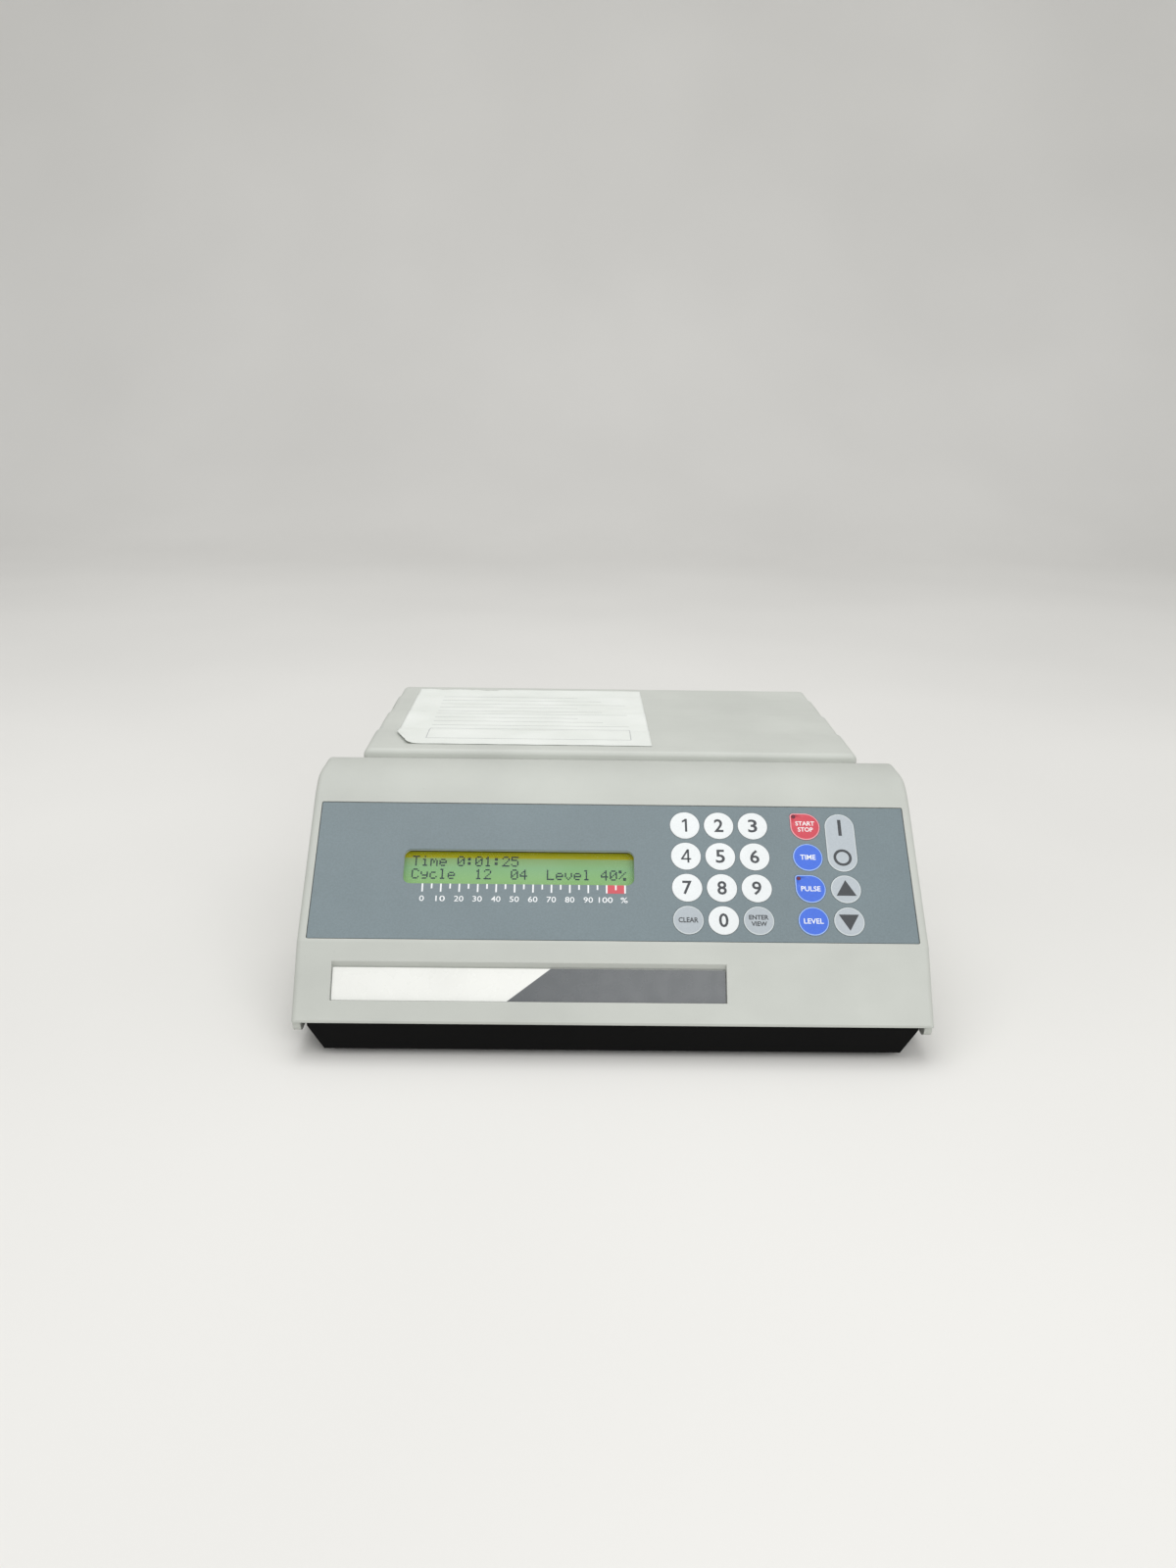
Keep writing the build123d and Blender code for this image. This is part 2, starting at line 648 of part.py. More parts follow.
# Mains inlet with its blades, and the fuse drawer above it
socket_z = inlet_z + socket_drop
drawer_z = inlet_z + drawer_rise
with BuildPart() as inlet_socket:
    with BuildSketch(rearward) as flange:
        with Locations((-inlet_x, inlet_z)):
            Rectangle(*inlet_flange)
        chamfer(flange.vertices(), 5)
    extrude(amount=inlet_flange_depth)
    chamfer(inlet_socket.faces().sort_by(Axis.Y)[-1].edges(), 0.8)
    with BuildSketch(rearward):
        with Locations((-inlet_x, inlet_z)):
            Rectangle(*inlet_body)
    extrude(amount=-inlet_body_depth)
    with BuildSketch(rearward.offset(inlet_flange_depth)) as recess:
        with Locations((-inlet_x, socket_z)):
            Rectangle(*socket_recess)
        chamfer(recess.vertices().group_by(Axis.Y)[-1], 4.2)
        fillet(recess.vertices().group_by(Axis.Y)[0], 1.5)
    extrude(amount=-socket_depth, mode=Mode.SUBTRACT)
    with BuildSketch(rearward.offset(inlet_flange_depth)):
        with Locations((-inlet_x, drawer_z)):
            Rectangle(drawer_body[0] + 0.2, drawer_body[1] + 0.2)
    extrude(amount=-drawer_body[2] - 0.5, mode=Mode.SUBTRACT)
    with BuildSketch(rearward):
        with Locations(mirrored(blade_places)):
            Rectangle(2, 4)
    extrude(amount=-inlet_body_depth, mode=Mode.SUBTRACT)
    with BuildSketch(rearward):
        with Locations((-inlet_x, socket_z)):
            with GridLocations(inlet_screw_spacing, 0, 2, 1):
                Circle(screw_hole)
    extrude(amount=inlet_flange_depth, mode=Mode.SUBTRACT)
save(inlet_socket.part, "inlet_socket")

with BuildPart() as inlet_blades:
    with BuildSketch(rearward.offset(inlet_flange_depth - 2)):
        with Locations(mirrored(blade_places)):
            Rectangle(2, 4)
    extrude(amount=-(inlet_body_depth + inlet_flange_depth + 4))
    chamfer(inlet_blades.faces().group_by(Axis.Y)[-1].edges(), 0.5)
save(inlet_blades.part, "inlet_blades")

# The drawer is a tray on a finger plate; the fuse lies across it in a round-bottomed seat
fuse_y = back(plate_outer + inlet_flange_depth - 8)
with BuildPart() as fuse_drawer:
    with BuildSketch(rearward.offset(inlet_flange_depth)):
        with Locations((-inlet_x, drawer_z)):
            Rectangle(*drawer_body[:2])
    extrude(amount=-drawer_body[2])
    with BuildSketch(rearward.offset(inlet_flange_depth)):
        with Locations((-inlet_x, drawer_z)):
            RectangleRounded(drawer_body[0] + 2, drawer_body[1] + 1.6, 1)
    extrude(amount=1.4)
    with BuildSketch(rearward.offset(inlet_flange_depth + 1.4)):
        with Locations((-inlet_x, drawer_z + 3.2)):
            Rectangle(10, 1.8)
    extrude(amount=1.6)
    with BuildSketch(Plane.YZ.offset(inlet_x)):
        with Locations((fuse_y, drawer_z + 1)):
            Circle(fuse_radius + 0.1)
        with Locations((fuse_y, drawer_z + 4)):
            Rectangle(2 * fuse_radius + 0.2, 6)
    extrude(amount=fuse_length / 2 + 0.1, both=True, mode=Mode.SUBTRACT)
save(fuse_drawer.part, "fuse_drawer")

with BuildPart() as fuse:
    with BuildSketch(Plane.YZ.offset(inlet_x)):
        with Locations((fuse_y, drawer_z + 0.9)):
            Circle(fuse_radius - 0.2)
    extrude(amount=fuse_length / 2, both=True)
    for side in (-1, 1):
        with BuildSketch(Plane.YZ.offset(inlet_x + side * (fuse_length / 2 - 2.5))):
            with Locations((fuse_y, drawer_z + 0.9)):
                Circle(fuse_radius)
        extrude(amount=2.5, both=True)
save(fuse.part, "fuse")

# Output jack for the converter lead: a barrel that the plug screws onto, its insulator and its contact
with BuildPart() as converter_socket:
    with BuildSketch(rearward):
        with Locations((-converter_x, converter_z)):
            RegularPolygon(8.6, 6)
    extrude(amount=3)
    chamfer(converter_socket.faces().sort_by(Axis.Y)[-1].edges(), 0.5)
    with BuildSketch(rearward.offset(jack_reach)):
        with Locations((-converter_x, converter_z)):
            Circle(barrel_radius)
    extrude(amount=-(jack_reach + 14))
    with BuildSketch(rearward.offset(jack_reach)):
        with Locations((-converter_x, converter_z)):
            Circle(barrel_bore)
    extrude(amount=-(jack_reach + 14), mode=Mode.SUBTRACT)
    chamfer(converter_socket.edges().group_by(Axis.Y)[-1].sort_by(SortBy.LENGTH)[-1], 0.4)
save(converter_socket.part, "converter_socket")

with BuildPart() as socket_insulator:
    with BuildSketch(rearward.offset(2)):
        with Locations((-converter_x, converter_z)):
            Circle(barrel_bore)
            Circle(contact_radius, mode=Mode.SUBTRACT)
    extrude(amount=-16)
    with BuildSketch(rearward.offset(2)):
        with Locations((-converter_x, converter_z)):
            Circle(2.4)
            Circle(contact_radius, mode=Mode.SUBTRACT)
    extrude(amount=jack_reach - 5)
save(socket_insulator.part, "socket_insulator")

with BuildPart() as socket_contact:
    with BuildSketch(rearward.offset(-18)):
        with Locations((-converter_x, converter_z)):
            Circle(contact_radius)
    extrude(amount=jack_reach + 12)
save(socket_contact.part, "socket_contact")


def hex_nut(plane, place, bore, across_corners, thickness):
    with BuildPart() as nut:
        with BuildSketch(plane):
            with Locations(place):
                RegularPolygon(across_corners, 6)
                Circle(bore, mode=Mode.SUBTRACT)
        extrude(amount=thickness)
    return nut.part


# Footswitch jack
with BuildPart() as footswitch_jack:
    with BuildSketch(rearward.offset(-plate_thickness)):
        with Locations((-footswitch_x, footswitch_z)):
            RectangleRounded(16, 16, 1)
    extrude(amount=-24)
    with BuildSketch(rearward.offset(-plate_thickness)):
        with Locations((-footswitch_x, footswitch_z)):
            Circle(bush_radius)
    extrude(amount=plate_thickness + bush_reach)
    with BuildSketch(rearward.offset(bush_reach)):
        with Locations((-footswitch_x, footswitch_z)):
            Circle(jack_bore)
    extrude(amount=-jack_bore_depth, mode=Mode.SUBTRACT)
save(footswitch_jack.part, "footswitch_jack")

inner_face = rearward.offset(-plate_thickness - 2.5)
with BuildPart() as socket_nuts:
    add(hex_nut(inner_face, (-converter_x, converter_z), barrel_radius, 8.6, 2.5))
    add(hex_nut(rearward, (-footswitch_x, footswitch_z), bush_radius, 7.4, 2.4))
save(socket_nuts.part, "socket_nuts")

# Nine-way data socket and its two hexagon posts
with BuildPart() as data_socket:
    with BuildSketch(rearward):
        with Locations((-data_x, data_z)):
            RectangleRounded(30.8, 12.5, 1.5)
            with GridLocations(data_post_spacing, 0, 2, 1):
                Circle(screw_hole, mode=Mode.SUBTRACT)
    extrude(amount=1.2)
    with BuildSketch(rearward.offset(1.2)):
        with Locations((-data_x, data_z)):
            Trapezoid(16.9, 8.4, 80, rotation=180)
    extrude(amount=4.8)
    fillet(data_socket.edges().filter_by(Axis.Y).group_by(SortBy.LENGTH)[-1], 1.2)
    with BuildSketch(rearward):
        with Locations((-data_x, data_z)):
            Rectangle(19, 10)
    extrude(amount=-9)
    with BuildSketch(rearward.offset(6)):
        with Locations((-data_x, data_z + 1.42)):
            with GridLocations(2.77, 0, 5, 1):
                Circle(0.55)
        with Locations((-data_x, data_z - 1.42)):
            with GridLocations(2.77, 0, 4, 1):
                Circle(0.55)
    extrude(amount=-5, mode=Mode.SUBTRACT)
save(data_socket.part, "data_socket")

with BuildPart() as jack_posts:
    with BuildSketch(rearward.offset(1.2)):
        with Locations((-data_x, data_z)):
            with GridLocations(data_post_spacing, 0, 2, 1):
                RegularPolygon(2.75, 6)
    extrude(amount=5)
    with BuildSketch(rearward.offset(1.2)):
        with Locations((-data_x, data_z)):
            with GridLocations(data_post_spacing, 0, 2, 1):
                Circle(1.4)
    extrude(amount=-8)
    with BuildSketch(rearward.offset(6.2)):
        with Locations((-data_x, data_z)):
            with GridLocations(data_post_spacing, 0, 2, 1):
                Circle(1.2)
    extrude(amount=-5, mode=Mode.SUBTRACT)
save(jack_posts.part, "jack_posts")

# Keypad: each key's place on the panel and its outline
digit_rows = (("1", "2", "3"), ("4", "5", "6"), ("7", "8", "9"), ("clear", "0", "enter"))
function_keys = (("start_stop", "drop"), ("timer", "disc"), ("pulser", "drop"), ("ampl", "disc"))
key_table = {}
for row, names, (function, shape) in zip(reversed(key_rows), digit_rows, function_keys):
    for column, name in zip(key_columns, names):
        key_table[name] = (column, row, "disc")
    key_table[function] = (function_columns[0], row, shape)
key_table["power"] = (function_columns[1], power_key_centre, "pill")
key_table["up"] = (function_columns[1], key_rows[1], "disc")
key_table["down"] = (function_columns[1], key_rows[0], "disc")


def key_face(depth, names, grow):
    """The outlines of these keys on the panel, this far from its surface, made larger by grow."""
    radius = key_radius + grow
    with BuildSketch(panel_plane.offset(depth)) as face:
        for x, y, shape in (key_table[name] for name in names):
            with Locations((x, y)):
                if shape == "pill":
                    SlotOverall(power_key_length + 2 * grow, 2 * radius, rotation=90)
                else:
                    Circle(radius)
            if shape == "drop":
                with Locations((x - radius / 2, y + radius / 2)):
                    Rectangle(radius, radius)
                tip = face.vertices().sort_by_distance((x - radius, y + radius, 0))[0]
                fillet(tip, drop_tip_radius)
    return face.sketch


led_places = [
    (x - led_offset, y + led_offset) for x, y, shape in key_table.values() if shape == "drop"
]


def sheet(top, thickness, pocket_gap):
    """One keypad sheet: the window is cut out and, with a gap given, the keys too."""
    with BuildPart() as layer:
        with BuildSketch(panel_plane.offset(top)):
            with Locations((0, overlay_centre)):
                RectangleRounded(*overlay_size, overlay_corner)
            with Locations(display_centre):
                RectangleRounded(*window_size, window_corner, mode=Mode.SUBTRACT)
        extrude(amount=-thickness)
        if pocket_gap is not None:
            holes = key_face(top + 0.1, key_table, pocket_gap)
            extrude(holes, amount=-thickness - 0.2, mode=Mode.SUBTRACT)
    return layer.part


save(sheet(overlay_top, overlay_sheet, key_gap), "panel_overlay")
spacer_top = overlay_top - overlay_sheet
# Circuit laminate: a film with the tracks, a spacer with pockets for the domes, two lamps and the tail
circuit_top = spacer_top - spacer_sheet
with BuildPart() as keypad_circuit:
    add(sheet(spacer_top, spacer_sheet, key_gap))
    add(sheet(circuit_top, circuit_sheet, None))
    with BuildSketch(panel_plane.offset(circuit_top)):
        with Locations(led_places):
            Circle(led_radius)
    extrude(amount=overlay_top - circuit_top - 0.05)
    with BuildSketch(panel_plane.offset(circuit_top - circuit_sheet)):
        with Locations(tail_place):
            Rectangle(tail_width, circuit_sheet)
    extrude(amount=-tail_drop)
save(keypad_circuit.part, "keypad_circuit")

with BuildPart() as snap_domes:
    with BuildSketch(panel_plane.offset(circuit_top)):
        with Locations([(x, y) for x, y, shape in key_table.values()]):
            Circle(dome_radius)
    extrude(amount=spacer_sheet - 0.05, taper=58)
save(snap_domes.part, "snap_domes")

for name in key_table:
    with BuildPart() as key:
        extrude(key_face(spacer_top, [name], 0), amount=overlay_sheet + key_emboss)
        if key_table[name][2] == "drop":
            with BuildSketch(panel_plane.offset(spacer_top - 0.1)):
                with Locations((key_table[name][0] - led_offset, key_table[name][1] + led_offset)):
                    Circle(led_radius + 0.15)
            extrude(amount=overlay_sheet + key_emboss + 0.2, mode=Mode.SUBTRACT)
    save(key.part, f"key_{name}")

# Name plate in its pocket, left plain, and a plain paper label laid over the stepped top of the cover
with BuildPart() as name_plate:
    with BuildSketch(lower_plane.offset(-pocket_depth)):
        with Locations((pocket_centre[0], pocket_centre[1] - pocket_slant / 2)):
            RectangleRounded(pocket_size[0] - 0.8, pocket_size[1] - pocket_slant - 0.4, 0.4)
    extrude(amount=plate_sheet)
save(name_plate.part, "name_plate")

label_steps = [(label_front, cover_top)]
for index, end in enumerate(terrace_ends[:3]):
    upper = cover_top - index * terrace_step
    label_steps += [(end, upper), (end, upper - terrace_step)]
label_steps.append((label_back, cover_top - 3 * terrace_step))
with BuildPart() as top_label:
    with BuildSketch(Plane.YZ.offset(label_left)):
        with BuildLine():
            under = [(back(d), z) for d, z in label_steps]
            over = [(y + label_sheet, z + label_sheet) for y, z in under[1:-1]]
            over = [(under[0][0], under[0][1] + label_sheet)] + over
            over.append((under[-1][0], under[-1][1] + label_sheet))
            Polyline(*under, *reversed(over), close=True)
        make_face()
    extrude(amount=label_right - label_left)
save(top_label.part, "top_label")

# Display: window pane, then the character module with its metal frame, its lit glass and its board
with BuildPart() as display_window:
    with BuildSketch(panel_plane.offset(-console_wall)):
        with Locations(display_centre):
            Rectangle(pane_opening[0] - 0.4, pane_opening[1] - 0.4)
    extrude(amount=console_wall - recess_depth)
save(display_window.part, "display_window")

board_face = -console_wall - module_post_height
with BuildPart() as lcd_board:
    with BuildSketch(panel_plane.offset(board_face)):
        with Locations(display_centre):
            Rectangle(*module_size)
            with GridLocations(*module_holes, 2, 2):
                Circle(board_hole, mode=Mode.SUBTRACT)
    extrude(amount=-board_thickness)
save(lcd_board.part, "lcd_board")

with BuildPart() as lcd_glass:
    with BuildSketch(panel_plane.offset(board_face)):
        with Locations(display_centre):
            Rectangle(*lcd_glass_size)
    extrude(amount=lcd_glass_depth)
save(lcd_glass.part, "lcd_glass")

lcd_frame_depth = lcd_glass_depth + lcd_frame_sheet
with BuildPart() as lcd_frame:
    with BuildSketch(panel_plane.offset(board_face)):
        with Locations(display_centre):
            Rectangle(*(side + 2 * lcd_frame_sheet + lcd_frame_gap for side in lcd_glass_size))
    extrude(amount=lcd_frame_depth)
    with BuildSketch(panel_plane.offset(board_face)):
        with Locations(display_centre):
            Rectangle(*(side + lcd_frame_gap for side in lcd_glass_size))
    extrude(amount=lcd_frame_depth - lcd_frame_sheet, mode=Mode.SUBTRACT)
    with BuildSketch(panel_plane.offset(board_face)):
        with Locations(display_centre):
            Rectangle(*(side + 1.6 for side in window_size))
    extrude(amount=lcd_frame_depth, mode=Mode.SUBTRACT)
save(lcd_frame.part, "lcd_frame")

board_back = panel_plane.offset(board_face - board_thickness)
board_under = Plane(origin=board_back.origin, x_dir=(1, 0, 0), z_dir=-board_back.z_dir)
module_corners = [
    (display_centre[0] + x * module_holes[0] / 2, -display_centre[1] + y * module_holes[1] / 2)
    for x in (-1, 1)
    for y in (-1, 1)
]
# Main board and what stands on it
board_top = board_bottom + board_thickness
with BuildPart() as main_board:
    with BuildSketch(Plane.XY.offset(board_bottom)):
        with Locations((board_centre[0], back(board_centre[1]))):
            Rectangle(*board_size)
        with Locations(board_hole_places):
            Circle(board_hole, mode=Mode.SUBTRACT)
    extrude(amount=board_thickness)
save(main_board.part, "main_board")

with BuildPart() as board_screws:
    add(screw_group(board_under, module_corners, 2.2, 1.5, 1.0, 5.5))
    add(screw_group(Plane.XY.offset(board_top), board_hole_places, 2.2, 1.5, 1.0, 5.5))
save(board_screws.part, "board_screws")

with BuildPart() as heat_sink:
    with BuildSketch(wall_plane(heat_sink_front)):
        with Locations((heat_sink_x, board_top + 2.5)):
            Rectangle(heat_sink_width, 5)
        with Locations((heat_sink_x, board_top + heat_sink_height / 2)):
            fin_pitch = (heat_sink_width - 2) / (heat_sink_fins - 1)
            with GridLocations(fin_pitch, 0, heat_sink_fins, 1):
                Rectangle(2, heat_sink_height)
    extrude(amount=-heat_sink_length)
save(heat_sink.part, "heat_sink")

transistor_x = heat_sink_x + heat_sink_width / 2
with BuildPart() as power_transistors:
    with BuildSketch(Plane.YZ.offset(transistor_x)):
        for fraction in (0.2, 0.5, 0.8):
            with Locations((back(heat_sink_front + fraction * heat_sink_length), board_top + 14)):
                Rectangle(16, 21)
                Circle(1.8, mode=Mode.SUBTRACT)
    extrude(amount=5)
    with BuildSketch(Plane.YZ.offset(transistor_x + 2)):
        for fraction in (0.2, 0.5, 0.8):
            with Locations((back(heat_sink_front + fraction * heat_sink_length), board_top + 2)):
                with GridLocations(5.4, 0, 3, 1):
                    Rectangle(1.2, 4)
    extrude(amount=0.6)
save(power_transistors.part, "power_transistors")

with BuildPart() as capacitors:
    with BuildSketch(Plane.XY.offset(board_top)):
        with Locations([(x, back(y)) for x, y in capacitor_places]):
            Circle(capacitor_radius)
    extrude(amount=capacitor_height)
    chamfer(capacitors.faces().group_by(Axis.Z)[-1].edges(), 1.0)
save(capacitors.part, "capacitors")

# Ferrite core with its wound bobbin
with BuildPart() as output_transformer:
    with BuildSketch(wall_plane(transformer_y - transformer_core[1] / 2)):
        with Locations((transformer_x, board_top + transformer_core[2] / 2)):
            Rectangle(transformer_core[0], transformer_core[2])
    extrude(amount=-transformer_core[1])
    with BuildSketch(Plane.XY.offset(board_top + 6)):
        with Locations((transformer_x, back(transformer_y))):
            RectangleRounded(transformer_core[0] - 12, transformer_core[1] + 14, 6)
    extrude(amount=transformer_core[2] - 12)
save(output_transformer.part, "output_transformer")

with BuildPart() as choke:
    with BuildSketch(Plane.XY.offset(board_top)):
        with Locations((choke_x, back(choke_y))):
            Circle(17)
            Circle(7, mode=Mode.SUBTRACT)
    extrude(amount=14)
    chamfer(choke.edges().filter_by(GeomType.CIRCLE), 3)
save(choke.part, "choke")

with BuildPart() as mains_transformer:
    with BuildSketch(Plane.XY.offset(tray_floor)):
        with Locations((mains_x, back(mains_y))):
            Circle(mains_radius)
            Circle(9, mode=Mode.SUBTRACT)
    extrude(amount=mains_height)
    chamfer(mains_transformer.edges().filter_by(GeomType.CIRCLE), 5)
save(mains_transformer.part, "mains_transformer")

with BuildPart() as transformer_bolt:
    with BuildSketch(Plane.XY.offset(tray_floor + mains_height)):
        with Locations((mains_x, back(mains_y))):
            Circle(16)
    extrude(amount=1.5)
    with BuildSketch(Plane.XY.offset(tray_floor + mains_height + 1.5)):
        with Locations((mains_x, back(mains_y))):
            RegularPolygon(5.7, 6)
    extrude(amount=3.5)
    with BuildSketch(Plane.XY.offset(tray_floor)):
        with Locations((mains_x, back(mains_y))):
            Circle(2.5)
    extrude(amount=mains_height)
save(transformer_bolt.part, "transformer_bolt")
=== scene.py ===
import json
import random
from math import cos, pi, radians, sin

import bmesh
import bpy
from mathutils import Matrix, Vector
from mathutils.bvhtree import BVHTree


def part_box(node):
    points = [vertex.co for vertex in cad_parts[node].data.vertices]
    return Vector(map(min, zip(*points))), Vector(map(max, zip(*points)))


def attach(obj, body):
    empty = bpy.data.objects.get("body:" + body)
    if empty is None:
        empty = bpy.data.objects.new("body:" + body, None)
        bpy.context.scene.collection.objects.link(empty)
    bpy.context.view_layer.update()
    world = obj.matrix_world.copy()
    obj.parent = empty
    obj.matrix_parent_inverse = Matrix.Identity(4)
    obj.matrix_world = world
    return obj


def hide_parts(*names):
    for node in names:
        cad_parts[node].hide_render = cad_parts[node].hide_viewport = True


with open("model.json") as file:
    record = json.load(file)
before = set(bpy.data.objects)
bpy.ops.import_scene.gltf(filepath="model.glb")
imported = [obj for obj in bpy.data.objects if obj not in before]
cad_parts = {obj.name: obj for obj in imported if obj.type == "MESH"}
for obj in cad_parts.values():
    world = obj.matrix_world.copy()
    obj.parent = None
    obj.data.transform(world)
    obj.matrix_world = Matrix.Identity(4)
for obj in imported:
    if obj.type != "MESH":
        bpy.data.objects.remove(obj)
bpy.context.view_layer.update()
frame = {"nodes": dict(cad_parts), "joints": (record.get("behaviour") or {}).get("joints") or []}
nodes = frame["nodes"]
mm = 0.001

# Places on the sloping panel are worked out from the keypad sheet and the way the keys travel
keyJoint = next(j for j in frame["joints"] if j["name"] == "key_5_press")
panelOut = -Vector(keyJoint["axis"])
panelUp = Vector((0, panelOut.z, -panelOut.y))


def spanAlong(node, direction):
    values = [v.co.dot(direction) for v in nodes[node].data.vertices]
    return min(values), max(values)


sheetLow = spanAlong("panel_overlay", panelUp)[0]
sheetTop = spanAlong("panel_overlay", panelOut)[1]
sheetMargin = 1.5 * mm  # from the panel's lower crease to the sheet
panelOrigin = panelUp * (sheetLow - sheetMargin) + panelOut * sheetTop
panelTurn = Matrix((Vector((1, 0, 0)), panelUp, panelOut)).transposed()


def panelPoint(x, up, lift=0.0):
    return panelOrigin + Vector((x, 0, 0)) + panelUp * up + panelOut * lift


def keyPlace(node):
    low, high = spanAlong(node, panelUp)
    left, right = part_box(node)[0].x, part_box(node)[1].x
    return (left + right) / 2, (low + high) / 2 - panelOrigin.dot(panelUp)


white = (1, 1, 1, 1)


# A tint from screen values of 0 to 255
def colour(red, green, blue):
    shares = [c / 255 for c in (red, green, blue)]
    linear = [c / 12.92 if c < 0.04 else ((c + 0.055) / 1.055) ** 2.4 for c in shares]
    return (*linear, 1.0)


def shade(tint, share, lift=0.0):
    return (*[min(1, c * share + lift) for c in tint[:3]], 1)


# Every value of a node is either another node's output or a plain value
def feed(tree, node, values):
    for label, value in values.items():
        if isinstance(value, bpy.types.NodeSocket):
            tree.links.new(value, node.inputs[label])
        else:
            node.inputs[label].default_value = value


def nodeOf(tree, kind, values=None, **settings):
    node = tree.nodes.new(kind)
    for label, setting in settings.items():
        setattr(node, label, setting)
    feed(tree, node, values or {})
    return node


def startMaterial(name):
    material = bpy.data.materials.new(name)
    material.use_nodes = True
    tree = material.node_tree
    place = nodeOf(tree, "ShaderNodeTexCoord").outputs["Object"]
    return material, tree, tree.nodes["Principled BSDF"], place


def noiseOf(tree, place, size, detail=2.0, stretch=(1, 1, 1)):
    turn = nodeOf(tree, "ShaderNodeMapping", {"Vector": place, "Scale": stretch})
    values = {"Vector": turn.outputs["Vector"], "Scale": 1 / size, "Detail": detail}
    return nodeOf(tree, "ShaderNodeTexNoise", values).outputs[0]


def rampOf(tree, value, stops):
    node = nodeOf(tree, "ShaderNodeValToRGB", {"Fac": value})
    ramp = node.color_ramp.elements
    ramp[0].position, ramp[0].color = stops[0]
    ramp[1].position, ramp[1].color = stops[-1]
    for position, tint in stops[1:-1]:
        ramp.new(position).color = tint
    return node.outputs["Color"]


def fadeOf(tree, value, first, last, low=0.3, high=0.7):
    return rampOf(tree, value, [(low, first), (high, last)])


def mixOf(tree, factor, first, second, blend="MIX"):
    values = {0: factor, 6: first, 7: second}  # the colour sockets of the mix node
    return nodeOf(tree, "ShaderNodeMix", values, data_type="RGBA", blend_type=blend).outputs[2]


def mathOf(tree, operation, first, second=0.0):
    return nodeOf(tree, "ShaderNodeMath", {0: first, 1: second}, operation=operation).outputs[0]


def dotOf(tree, first, second):
    node = nodeOf(tree, "ShaderNodeVectorMath", {0: first, 1: second}, operation="DOT_PRODUCT")
    return node.outputs["Value"]


def rangeOf(tree, value, low, high, first=0.0, last=1.0):
    values = {"Value": value, "From Min": first, "From Max": last, "To Min": low, "To Max": high}
    return nodeOf(tree, "ShaderNodeMapRange", values).outputs["Result"]


def bevelOf(tree, radius):
    return nodeOf(tree, "ShaderNodeBevel", {"Radius": radius}, samples=4).outputs["Normal"]


# Where a rounded edge turns away from its face: 0 on the flat, 1 on the edge
def wearOf(tree, radius):
    flat = nodeOf(tree, "ShaderNodeNewGeometry").outputs["Normal"]
    return rangeOf(tree, dotOf(tree, bevelOf(tree, radius), flat), 0, 1, 0.99, 0.8)


def bumpOf(tree, shader, height, depth, edge=0.0):
    values = {"Height": height, "Distance": depth}
    if edge:
        values["Normal"] = bevelOf(tree, edge)
    feed(tree, shader, {"Normal": nodeOf(tree, "ShaderNodeBump", values).outputs["Normal"]})


# Moulded case plastic: spark-eroded grain, faint cloudiness, dust specks, rub marks and paler worn edges
def mouldedPlastic(name, rgb, grain=0.35 * mm, depth=0.02 * mm, rough=(0.42, 0.58), dust=0.35, gloss=0.42):
    size = dict(cloud=45 * mm, speck=1.1 * mm, edge=0.4 * mm, wear=7 * mm, rub=9 * mm)
    material, tree, shader, place = startMaterial(name)
    tint = colour(*rgb)
    cloud = fadeOf(tree, noiseOf(tree, place, size["cloud"], 4), shade(tint, 0.93), shade(tint, 1.04))
    specks = fadeOf(tree, noiseOf(tree, place, size["speck"], 1), shade(white, 0), white, 0.70, 0.78)
    dusty = mixOf(tree, mathOf(tree, "MULTIPLY", specks, dust * 0.35), cloud, shade(tint, 0.72))
    edges = wearOf(tree, size["edge"] * 1.5)
    patchy = mathOf(tree, "MULTIPLY", edges, noiseOf(tree, place, size["wear"], 4))
    rubs = noiseOf(tree, place, size["rub"], 5, (1, 4, 1))
    feed(tree, shader, {
        "Base Color": mixOf(tree, patchy, dusty, shade(tint, 1.25, 0.02)),
        "Roughness": rangeOf(tree, rubs, *rough),
        "Specular IOR Level": gloss,
    })
    bumpOf(tree, shader, noiseOf(tree, place, grain, 2), depth, size["edge"])
    return material


# Printed film: a fine pearl texture in the ink, a soft sheen and a trace of finger marks
def printedFilm(name, rgb, variation=0.06, rough=0.36):
    size = dict(pearl=0.7 * mm, cloud=30 * mm, mark=12 * mm, grain=0.25 * mm, depth=0.012 * mm)
    material, tree, shader, place = startMaterial(name)
    tint = colour(*rgb)
    dark, light = shade(tint, 1 - variation), shade(tint, 1 + variation)
    pearl = fadeOf(tree, noiseOf(tree, place, size["pearl"], 3), dark, light, 0.35, 0.65)
    cloud = fadeOf(tree, noiseOf(tree, place, size["cloud"], 3), shade(white, 0.94), white)
    marks = noiseOf(tree, place, size["mark"], 6)
    feed(tree, shader, {
        "Base Color": mixOf(tree, 1.0, pearl, cloud, "MULTIPLY"),
        "Roughness": rangeOf(tree, marks, rough - 0.08, rough + 0.12),
    })
    bumpOf(tree, shader, noiseOf(tree, place, size["grain"], 1), size["depth"])
    return material


def brushedMetal(name, rgb, rough=0.3, stretch=(1, 1, 14)):
    material, tree, shader, place = startMaterial(name)
    tint = colour(*rgb)
    lines = noiseOf(tree, place, 0.6 * mm, 3, stretch)
    feed(tree, shader, {
        "Base Color": fadeOf(tree, lines, shade(tint, 0.85), tint),
        "Roughness": rangeOf(tree, lines, rough - 0.1, rough + 0.12),
        "Metallic": 1.0,
    })
    bumpOf(tree, shader, lines, 0.01 * mm, 0.2 * mm)
    return material


